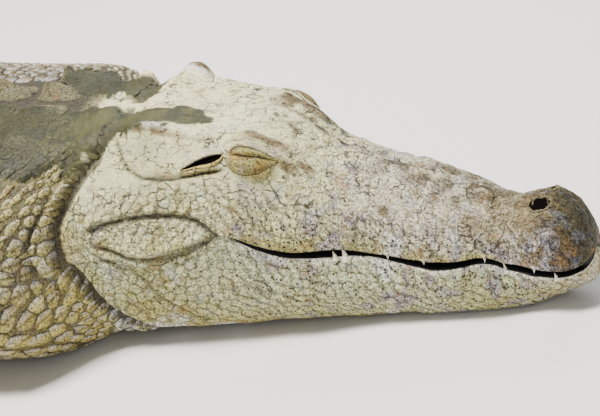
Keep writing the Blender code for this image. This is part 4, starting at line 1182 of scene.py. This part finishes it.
# A dead dark finish without shine, for the sheets of painted shadow in the ear slits and nostrils.
shadow_finish, _, surface = new_finish("painted_shadow")
surface.inputs["Base Color"].default_value = (.004, .003, .003, 1)
surface.inputs["Roughness"].default_value = 1
surface.inputs["Specular IOR Level"].default_value = 0
FLAP_COLOURS = {"lid": paint(150, 143, 88), "skin": paint(190, 183, 146), "lobe": paint(176, 156, 90),
                "shadow_sheet": paint(6, 5, 5), "nose": paint(104, 94, 68)}
for side, word in SIDES:
    flaps = []
    for top, low, rise, finish in FLAPS:
        flap, x, level, lift, rim = skin_flap(top, low, rise, rise is lid_rise)
        flap.data.vertices.foreach_set("co", hide_place(x, level * side, lift).ravel())
        blend = unevenness(corners_of(flap) + 11, .03, .005)
        # The dark rim laid in here is painted shade along the flap's edges and in its wrinkles.
        dress(flap, x, level * side, gap=rim * .9)
        own = np.tile(FLAP_COLOURS[finish], (len(x), 1))
        own = mixed(own, FLAP_COLOURS[finish] * 1.25, smooth_step(0, 1, blend))
        if finish == "lid":
            own = mixed(own, paint(164, 128, 52), smooth_step(.0, .8, -blend) * .6)
            own = mixed(own, paint(110, 96, 64), np.full(len(x), .7 * (side > 0)))
        own = np.concatenate([np.clip(own, 0, 1), np.ones((len(x), 1))], 1).astype(np.float32)
        flap.data.attributes["pigment"].data.foreach_set("color", own.ravel())
        flap.data.attributes["pits"].data.foreach_set("value", np.full(len(x), .25, np.float32))
        flap.data.materials.append(shadow_finish if finish == "shadow_sheet" else scale_skin)
        close_up(.00002)
        flaps.append(flap)
    flap = joined(flaps)
    flap.name = f"lids_and_ear_{word}"
    bpy.ops.object.shade_smooth_by_angle(angle=1.0)
    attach(flap, "root")

# ================================================================================================
# Shields of neck and back: plates of bone in the skin under thick horn, each with a keel along it.
# Four large and two small stand on the nape, and on the back they lie in cross rows, edge to edge.
# ================================================================================================
SHIELD_LENGTH, SHIELD_PITCH, KEEL_HIGH, SHIELD_GAP = .0665, .052, .0088, .0012
SHIELDED = .62 / (3 * SHIELD_PITCH)     # share of the half width of the back that three shields cover
LAST_SCALE_X = TAIL_END_X + .006


def tile_blank(name, along_cuts, across_cuts):
    """A closed tile 2 long, 2 wide and 1 deep, its top at 0."""
    bpy.ops.object.select_all(action="DESELECT")
    bpy.ops.mesh.primitive_grid_add(x_subdivisions=along_cuts, y_subdivisions=across_cuts, size=2)
    blank = bpy.context.object
    blank.name = name
    bpy.ops.object.mode_set(mode="EDIT")
    bpy.ops.mesh.select_all(action="SELECT")
    bpy.ops.mesh.extrude_region_move(TRANSFORM_OT_translate={"value": (0, 0, -1)})
    bpy.ops.mesh.select_all(action="SELECT")
    bpy.ops.mesh.normals_make_consistent(inside=False)
    bpy.ops.mesh.quads_convert_to_tris()
    bpy.ops.object.mode_set(mode="OBJECT")
    return blank


def back_girth(x, y):
    """Girth of the place on the back that lies y to the left of the middle."""
    low, high = np.full(len(x), 3.6), np.full(len(x), 8.0)
    for _ in range(16):
        middle = (low + high) / 2
        wide = side_place(x, middle)[0][:, 0] > np.abs(y)
        low, high = np.where(wide, middle, low), np.where(wide, high, middle)
    return np.where(y < 0, -1, 1) * np.minimum((low + high) / 2, 7.99999)


def back_place(x, y, lift=0.0):
    x, y = np.asarray(x, float).ravel(), np.asarray(y, float).ravel()
    return hide_place(x, back_girth(x, y), lift)


def lay_tiles(name, blank, place, x, y, half_x, half_y, rise, seed, round_off=.10, girth=None):
    """A copy of the tile at every root, its top raised by rise(a, b, which) with a and b from -1 to 1."""
    dice = np.random.default_rng(seed)
    shape = corners_of(blank)
    a, b, top = shape[:, 0], shape[:, 1], shape[:, 2] > -.5
    a2, b2 = a * (1 - round_off * b ** 4), b * (1 - round_off * a ** 4)
    skew = dice.normal(0, .04, (2, len(x), 1))
    half_x, half_y = np.asarray(half_x) * np.ones(len(x)), np.asarray(half_y) * np.ones(len(x))
    at_x = x[:, None] + half_x[:, None] * (a2 + skew[0] * b2)
    at_y = y[:, None] + half_y[:, None] * (b2 + skew[1] * a2)
    edge = np.maximum(np.abs(a), np.abs(b))
    raised = np.where(edge < .99, rise(a, b, np.arange(len(x))[:, None]), .0004)
    lift = np.where(top, raised, -.0030)
    lift = lift * np.where(top, dice.uniform(.85, 1.1, (len(x), 1)), 1)
    at_x, at_y, lift = np.maximum(at_x, LAST_SCALE_X).ravel(), at_y.ravel(), lift.ravel()
    points = place(at_x, at_y, lift).reshape(len(x), -1, 3)
    piece = copied(blank, name, points)
    bake_map(piece, blank, x, y)
    close_up()
    bpy.ops.object.shade_smooth_by_angle(angle=1.1)
    ride_as_skin(piece, len(x), "tiles")
    rim = np.tile(smooth_step(.84, 1.0, edge), len(x))
    return (piece, at_x, at_y if girth is None else girth(at_x, at_y), rim,
            np.repeat(np.arange(len(x)), len(shape)), np.tile(b, len(x)))


shield_blank = tile_blank("shield_blank", 9, 10)
rows = round((SHOULDER_X - VENT_X) / SHIELD_LENGTH)
row_long = (SHOULDER_X - VENT_X) / rows
row_x = SHOULDER_X - (np.arange(rows) + .5) * row_long
shield_x, shield_y, shield_wide = [], [], []
for x in row_x:
    half = along(BODY_HALF, x)
    pitch = SHIELD_PITCH * min(1, half * SHIELDED)
    for k in range(-3, 3):
        shield_x.append(x + .006 * (k % 2))
        shield_y.append((k + .5) * pitch)
        shield_wide.append(pitch / 2 - .0010)
shield_x, shield_y, shield_wide = map(np.array, (shield_x, shield_y, shield_wide))


def shield_rise(a, b, which):
    """A low dome with a keel that climbs towards the tail."""
    dome = .0030 * (1 - np.maximum(np.abs(a), np.abs(b)) ** 4)
    keel = np.exp(-np.abs(b / .22) ** 1.3) * smooth_step(1.0, -.35, a) * smooth_step(-1.0, -.65, a)
    pits = .0006 * np.sin(9 * a + 2.1 * which) * np.sin(8 * b + 1.3 * which)
    return dome + KEEL_HIGH * keel + pits


horn_skin = skin_finish("weathered_shield", .9, .0016)
laid = lay_tiles("back_shields", shield_blank, back_place, shield_x, shield_y, row_long / 2 - SHIELD_GAP,
                 shield_wide, shield_rise, 41, girth=back_girth)
finish_scales(laid, horn_skin, 42, .12, .75)

# Nape: a row of four small shields behind the skull, then a block of six large ones. Each has its
# place in skull lengths and to the left, its half length and its half width.
nape = [(-.13, y, .016, .017) for y in (-.085, -.030, .030, .085)]
nape += [(-.31, y, .036, .024) for y in (-.082, -.028, .028, .082)]
nape += [(-.455, y, .034, .024) for y in (-.030, .030)]
nape_x, nape_y, nape_long, nape_wide = (np.array(part) for part in zip(*nape))
nape_x = SKULL_X + nape_x * HEAD


def nape_rise(a, b, which):
    dome = .0045 * (1 - np.maximum(np.abs(a), np.abs(b)) ** 3)
    keel = np.exp(-np.abs(b / .34) ** 1.5) * smooth_step(1.0, -.45, a) * smooth_step(-1.0, -.6, a)
    rough = .0016 * np.sin(6 * a + 1.7 * which) * np.sin(7 * b + 2.9 * which)
    return dome + np.where(which < 4, .010, .019) * keel + rough


laid = lay_tiles("nape_shields", shield_blank, back_place, nape_x, nape_y, nape_long, nape_wide,
                 nape_rise, 43, .22, back_girth)
finish_scales(laid, horn_skin, 44, .08, .6)
bpy.data.objects.remove(shield_blank)

# ================================================================================================
# Scales of the flanks: oval beads of horn in soft skin that folds when the animal breathes. They are
# largest half way up and run small towards the belly plates.
# ================================================================================================
def flank_spacing(x, g):
    """Scales 31 mm apart half way up to 21 mm at the belly, none under the shields of the back."""
    level = np.abs(g)
    last_shield = 3 * SHIELD_PITCH * .985 * np.minimum(1, along(BODY_HALF, x) * SHIELDED)
    outer = np.abs(back_girth(x, last_shield))
    apart = .0250 + .0060 * hump(level, 3.6, 1.3) - .004 * smooth_step(1.8, 1.0, level)
    return np.where((level > 1.06) & (level < outer - .12) & (x <= NECK_REAR - .01) & (x > VENT_X), apart, -1)


for side, word in SIDES:
    flank_x, flank_g = spread_roots(flank_spacing, (VENT_X, NECK_REAR), sorted((side * 1.0, side * 7.0)),
                                    51 + side, 1.25, 24000)
    laid = lay_scales(f"flank_scales_{word}", bead_blank, hide_place, flank_x, flank_g, .0044, .0022, 52,
                      1.25, .022)
    # The flank beads get a painted highlight on their upper halves and painted shade on their lower halves.
    finish_scales(laid, neck_skin, 53, .12, .85, True)

# ================================================================================================
# Plates of the belly: smooth oblong tiles in cross rows from the throat to the vent, square to the
# body and soft enough to bend. The animal lies on them.
# ================================================================================================
BELLY_ROW, BELLY_PLATES, BELLY_GIRTH = .033, 12, 2.1
belly_blank = tile_blank("belly_tile_blank", 4, 4)
plate = BELLY_GIRTH / BELLY_PLATES
belly_rows = np.arange(VENT_X + .018, NECK_REAR, BELLY_ROW)
belly_x = np.repeat(belly_rows, BELLY_PLATES)
belly_g = np.tile((np.arange(BELLY_PLATES) + .5 - BELLY_PLATES / 2) * plate, len(belly_rows))
laid = lay_tiles("belly_plates", belly_blank, hide_place, belly_x, belly_g, .0157, plate / 2 * .955,
                 lambda a, b, which: .0022 + 0 * a + 0 * which, 54, .05)
finish_scales(laid, neck_skin, 55, .05, .6)

# ================================================================================================
# Scales of the tail: oblong tiles in closed rings. On top two rows of upright flaps run in from the
# hips and join into one crest past the middle. The flaps are stiff horn with a rib in the middle.
# ================================================================================================
CREST_HIGH, RING_LENGTH, TILE_WIDE = .04232, .0565, .030
HALF_RINGS_TO, FRONT_TO, PAIRS_TO = -1.5, -1.25, -1.56
CREST_LINE = [(VENT_X, .25), (-.8, .55), (-1.1, .80), (-1.5, 1), (-2.0, .85), (-2.4, .55), (-2.62, .2)]
CREST_APART = [(VENT_X, .060), (-.9, .052), (-1.3, .030), (-1.5, .012), (-1.58, 0), (-2.62, 0)]
rings = round((VENT_X - TAIL_END_X) / RING_LENGTH)
ring_long = (VENT_X - TAIL_END_X) / rings
tail_x, tail_g, tail_wide = [], [], []
for i in range(rings):
    x = VENT_X - (i + .5) * ring_long
    around = 2 * np.pi * np.sqrt((along(BODY_HALF, x) ** 2 + (along(BODY_HIGH, x) / 2) ** 2) / 2)
    halves = 2 if x > HALF_RINGS_TO else 1
    count = max(4, round(around / 2 / TILE_WIDE))
    for part in range(halves):
        for side in (-1, 1):
            for k in range(count):
                tail_x.append(x + (part - (halves - 1) / 2) * ring_long / halves)
                tail_g.append(side * (k + .5) * 8 / count)
                tail_wide.append(8 / count / 2 * .94)
tail_x, tail_g, tail_wide = map(np.array, (tail_x, tail_g, tail_wide))
tail_half = np.where(tail_x > HALF_RINGS_TO, ring_long / 4, ring_long / 2) - .0010


def tail_rise(a, b, which):
    """A low dome with a faint rib along it."""
    dome = .0032 * (1 - .35 * np.maximum(abs(a), abs(b)) ** 2)
    return dome + .0020 * np.exp(-(b / .35) ** 2) * smooth_step(1, -.6, a) + 0 * which


for word, pick in (("front", tail_x > FRONT_TO), ("rear", tail_x <= FRONT_TO)):
    laid = lay_tiles(f"tail_scales_{word}", belly_blank, hide_place, tail_x[pick], tail_g[pick],
                     tail_half[pick], tail_wide[pick], tail_rise, 61, .10)
    finish_scales(laid, horn_skin, 62, .13, .7)
bpy.data.objects.remove(belly_blank)

bpy.ops.object.select_all(action="DESELECT")
bpy.ops.mesh.primitive_cylinder_add(vertices=14, radius=1, depth=1, location=(0, 0, .5),
                                    end_fill_type="TRIFAN")
flap_blank = bpy.context.object
bpy.ops.object.transform_apply(location=True)
cut_across(flap_blank, 5, .5)
flap_x, flap_y = [], []
for i in range(rings):
    x = VENT_X - (i + .62) * ring_long
    for side in ((-1, 1) if x > PAIRS_TO else (0,)):
        flap_x.append(x)
        flap_y.append(side * along(CREST_APART, x))
flap_x, flap_y = np.array(flap_x), np.array(flap_y, float)
shape = corners_of(flap_blank)
share = shape[:, 2]
tall = CREST_HIGH * along(CREST_LINE, flap_x)[:, None]
narrow = 1 - share ** 1.6 * .86
at_x = flap_x[:, None] + ring_long * (.54 * shape[:, 0] * narrow - .42 * share ** 1.3)
at_x = np.maximum(at_x, LAST_SCALE_X)
thick = (.0035 + .055 * tall) * (1 - .80 * share)
lens = np.sqrt(np.clip(1.02 - shape[:, 0] ** 2 * .6, 0, 1))     # thickest in the middle of its length
at_y = flap_y[:, None] * (1 + .12 * share) + thick * shape[:, 1] * lens
foot = along(BODY_HIGH, flap_x)[:, None] - .010 - .10 * np.abs(flap_y[:, None])
points = to_world(at_x.ravel(), at_y.ravel(), (foot + (tall + .010) * share).ravel())
crest = copied(flap_blank, "tail_crest", points.reshape(len(flap_x), -1, 3))
bake_map(crest, flap_blank, -flap_x, flap_y)
close_up()
bpy.ops.object.shade_smooth_by_angle(angle=1.0)
dress(crest, at_x.ravel(), np.where(at_y.ravel() < 0, -1, 1) * 7.5, tone=-.15 * np.tile(share, len(flap_x)))
crest.data.materials.append(horn_skin)
ride_as_skin(crest, len(flap_x), "flaps")
bpy.data.objects.remove(flap_blank)

# ================================================================================================
# Legs and feet: stout columns of muscle in loose skin, laid out sideways as the animal rests. They
# come out of the body under a fold, and their hide is one with the body's. Five toes in front, four
# behind, webbed at the root.
# ================================================================================================
FRONT_LEG = {
    "joints": ((.40, .13, .145), (.345, .245, .122), (.265, .350, .092), (.245, .398, .074),
               (.300, .428, .058), (.385, .445, .037), (.430, .455, .026)),
    "radii": (.090, .080, .064, .057, .051, .035, .026),
}
HIND_LEG = {
    "joints": ((-.50, .09, .135), (-.42, .210, .128), (-.330, .340, .104), (-.325, .405, .084),
               (-.400, .448, .066), (-.490, .470, .046), (-.530, .485, .034)),
    "radii": (.118, .108, .084, .074, .064, .045, .034),
}
FRONT_FOOT = {"palm": .060, "heel": .12, "width": .040, "thick": .018, "heading": 12,
              "spread": (-48, -22, 2, 27, 56), "lengths": (.066, .080, .086, .076, .058), "radius": .0115}
HIND_FOOT = {"palm": .108, "heel": .45, "width": .050, "thick": .021, "heading": 40,
             "spread": (-32, -9, 12, 38), "lengths": (.090, .112, .118, .090), "radius": .0150}
CLAWED_TOES, CLAW_LENGTH, LEG_SCALE_DEPTH = 3, .030, .0030


def tube(joints, halves, heights=None, ground=.0012, cover=LEG_SCALE_DEPTH, blunt=.010):
    """A place function along a limb: metres from its root, girth from -8 to 8 round it, and lift."""
    joints, halves = np.array(joints, float), np.array(halves, float)
    heights = halves if heights is None else np.array(heights, float)
    lengths = np.append(0, np.cumsum(np.linalg.norm(np.diff(joints, axis=0), axis=1)))
    at = np.linspace(0, lengths[-1], 80)
    line = np.stack([along(list(zip(lengths, joints[:, k])), at) for k in range(3)], -1)
    ahead = np.gradient(line, axis=0)
    ahead /= np.linalg.norm(ahead, axis=1, keepdims=True)
    across = np.cross(ahead, (0, 0, 1))
    across /= np.linalg.norm(across, axis=1, keepdims=True)
    upward = np.cross(across, ahead)
    wide, tall = along(list(zip(lengths, halves)), at), along(list(zip(lengths, heights)), at)
    limb = np.concatenate([line, across, upward, wide[:, None], tall[:, None]], 1)

    def place(t, g, lift=0.0):
        t, g = np.asarray(t, float).ravel(), np.asarray(g, float).ravel()
        angle = g / 8 * np.pi
        here = np.stack([np.interp(t, at, column) for column in limb.T], -1)
        centre, aside, up, wide, high = np.split(here, (3, 6, 9, 10), 1)
        end = np.sqrt(np.clip(1 - np.clip((t - lengths[-1] + blunt) / blunt, 0, 1) ** 2, 0, 1))
        off = (lift - cover) * np.ones(len(t))
        wide, high = (wide[:, 0] + off) * end, (high[:, 0] + off) * end
        point = centre + aside * (np.cos(angle) * wide)[:, None] + up * (np.sin(angle) * high)[:, None]
        point = point + .0012 * unevenness(point, .10, .02)[:, None] * up
        point[:, 2] = np.maximum(point[:, 2], ground)
        return point

    return place, lengths[-1]


def leg_markings(points):
    """Spine place and girth whose colours the leg shares: the flank above and the belly below."""
    side = np.where(points[:, 1] < 0, -1, 1)
    return points[:, 0], side * (1.8 + 3.2 * smooth_step(.010, .09, points[:, 2]))


def skin_tube(name, limb, rings, sides):
    """A closed skin over the limb, whose first ring is drawn together into one point."""
    place, length = limb
    bpy.ops.object.select_all(action="DESELECT")
    bpy.ops.mesh.primitive_grid_add(x_subdivisions=sides, y_subdivisions=rings, size=2)
    piece = bpy.context.object
    piece.name = name
    flat = corners_of(piece)
    t = (flat[:, 1] + 1) / 2 * length
    points = place(t, flat[:, 0] * 8)
    points[t < 1e-5] = place(np.zeros(16), np.linspace(-8, 7, 16)).mean(0)
    piece.data.vertices.foreach_set("co", points.ravel())
    dress(piece, *leg_markings(points), points=points)
    close_up(.00005)
    bpy.ops.object.shade_smooth()
    return piece


# Each limb: its name, its tube, rings and sides of its skin, and spacing and height of its scales.
limbs, toe_ends = [], []
for side, word in SIDES:
    shift = (0, 0) if side < 0 else (.02, .006)
    for leg, foot, end in ((FRONT_LEG, FRONT_FOOT, "front"), (HIND_LEG, HIND_FOOT, "hind")):
        joints = [(p[0] + shift[0] * i / 3, side * (p[1] + shift[1] * i / 3), p[2])
                  for i, p in enumerate(leg["joints"])]
        limbs.append((f"{end}_{word}_leg", tube(joints, leg["radii"], blunt=.02), 56, 44, .0195, .0036))
        wrist = np.array(joints[-1])
        heading = np.radians(foot["heading"]) * side
        forward = np.array([np.cos(heading), np.sin(heading), 0])
        thick, width = foot["thick"], foot["width"]
        shares = (-foot["heel"], -foot["heel"] / 3, .15, .55, 1, 1.12)
        halves = width * np.array([.45, .86, .92, .95, 1.10, .75])
        heights = np.array([thick * .7, wrist[2] * 1.1, wrist[2], thick * 1.1, thick, thick * .6])
        path = [np.append((wrist + forward * (foot["palm"] * share))[:2], high * .9)
                for share, high in zip(shares, heights)]
        limbs.append((f"{end}_{word}_palm", tube(path, halves, heights, blunt=.016), 30, 36, .0125, .0024))
        sideways = np.array([-forward[1], forward[0], 0]) * side
        count = len(foot["spread"])
        for i, (spread, length) in enumerate(zip(foot["spread"], foot["lengths"])):
            turn = heading + np.radians(spread) * side
            direction = np.array([np.cos(turn), np.sin(turn), 0])
            root = path[4] + sideways * (width * .80 * (2 * i / (count - 1) - 1)) - direction * .012
            radius = foot["radius"] * (1 if i else 1.15)
            toe = [np.append((root + direction * (length * share))[:2], radius * (1.25 - .45 * share))
                   for share in (0, .35, .7, 1)]
            skin = tube(toe, radius * np.array((1.1, 1, .95, .80)), cover=.0020, blunt=.008)
            limbs.append((f"{end}_{word}_toe_{i}", skin, 24, 20, .0088, .0020))
            if i < CLAWED_TOES:
                toe_ends.append((f"{end}_{word}_claw_{i + 1}", toe[-1], direction, radius * .72))

skins = [skin_tube(name, limb, rings, sides) for name, limb, rings, sides, _, _ in limbs]
for piece in skins:
    piece.data.materials.append(hide.data.materials[0])
joined([hide, *skins])

leg_skin = skin_finish("weathered_leg_scale", .7, .0012)
for word in ("front_left", "front_right", "hind_left", "hind_right"):
    coats = []
    for n, (name, (place, length), _, _, apart, high) in enumerate(limbs):
        if not name.startswith(word):
            continue
        x, g = spread_roots(lambda t, g: np.where(t > .02, apart, -1), (0, length - .004), (-8, 8),
                            71 + n, 1.0, 9000, place)
        laid = lay_scales(name + "_scales", bead_blank, place, x, g, high, .0016, 72 + n, 1.0, apart * .95)
        piece, rim, root = laid[0], laid[3], laid[4]
        points = corners_of(piece)
        tone = np.random.default_rng(73 + n).normal(0, .11, root.max() + 1)[root]
        dress(piece, *leg_markings(points), tone=tone, gap=rim * .8, points=points)
        coats.append(piece)
    coat = joined(coats)
    coat.name = f"{word}_leg_scales"
    coat.data.materials.append(leg_skin)
bpy.data.objects.remove(bead_blank)

# ================================================================================================
# Claws: curved cones of dark horn over the last bone of the three inner toes of each foot.
# ================================================================================================
horn, nodes, surface = new_finish("claw_horn")
place = nodes.add("TexCoord").outputs["Object"]
streaks = nodes.noise(nodes.add("Mapping", Vector=place, Scale=(60, 260, 500)).outputs[0], 1.0, 4.0)
worn = nodes.step(streaks, .35, .70)
nodes.join(surface, "Base Color", nodes.mix(worn, (*paint(44, 40, 34), 1), (*paint(112, 102, 82), 1)))
nodes.join(surface, "Roughness", nodes.step(streaks, .3, .7, .34, .58))
nodes.join(surface, "Normal", nodes.add("Bump", Height=streaks, Strength=.4, Distance=.0008).outputs[0])
claws = []
for name, seat, direction, radius in toe_ends:
    shares = np.linspace(0, 1, 9)
    path = [seat + direction * (CLAW_LENGTH * share - .004) for share in shares]
    for point, share in zip(path, shares):
        point[2] = seat[2] + .004 * np.sin(np.pi * share) - (seat[2] - .004) * share ** 2
    swell = np.interp(shares, (0, .35, .7, 1), (.86, .72, .44, .12))
    limb = tube(path, radius * swell, radius * swell * 1.12, .0006, 0.0, .002)
    claws.append(skin_tube(name, limb, 18, 16))
claws = joined(claws)
claws.name = "claws"
claws.data.materials.append(horn)
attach(claws, "root")
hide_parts(*[name for name, _, _, _ in toe_ends])


# ================================================================================================
# Floor, light and camera.
# ================================================================================================
bpy.ops.object.select_all(action="DESELECT")
bpy.ops.mesh.primitive_plane_add(size=60, location=(0, 0, 0))
floor = bpy.context.object
floor.name = "floor"
plain, _, surface = new_finish("pale_floor")
surface.inputs["Base Color"].default_value = (.78, .77, .75, 1)
surface.inputs["Roughness"].default_value = .9
floor.data.materials.append(plain)

bpy.ops.object.camera_add(location=(2.81630925, -2.6155444, 1.60238093),
                          rotation=np.radians((63.94427199, 15.81499225, 26.40998852)))
camera = bpy.context.object
camera.data.lens = 164
camera.data.sensor_width = 36
bpy.context.scene.camera = camera

for name, place, size, power, colour in (
        ("key_light", (.10, -.90, 4.0), 1.1, 490, (1, .96, .89)),
        ("fill_light", (4.2, -3.4, 1.8), 3.0, 60, (.93, .96, 1)),
        ("back_light", (.6, 3.6, 3.0), 2.5, 150, (.92, .95, 1))):
    bpy.ops.object.light_add(type="AREA", location=place)
    lamp = bpy.context.object
    lamp.name = name
    lamp.data.size, lamp.data.energy, lamp.data.color = size, power, colour
    aim = np.array([.9, 0, .15]) - np.array(place)
    lamp.rotation_euler = (np.arctan2(np.hypot(aim[0], aim[1]), -aim[2]), 0,
                           np.arctan2(aim[1], aim[0]) - np.pi / 2)
world = bpy.context.scene.world or bpy.data.worlds.new("studio")
bpy.context.scene.world = world
world.use_nodes = True
sky = world.node_tree.nodes["Background"].inputs
sky["Color"].default_value, sky["Strength"].default_value = (.86, .90, .95, 1), .30
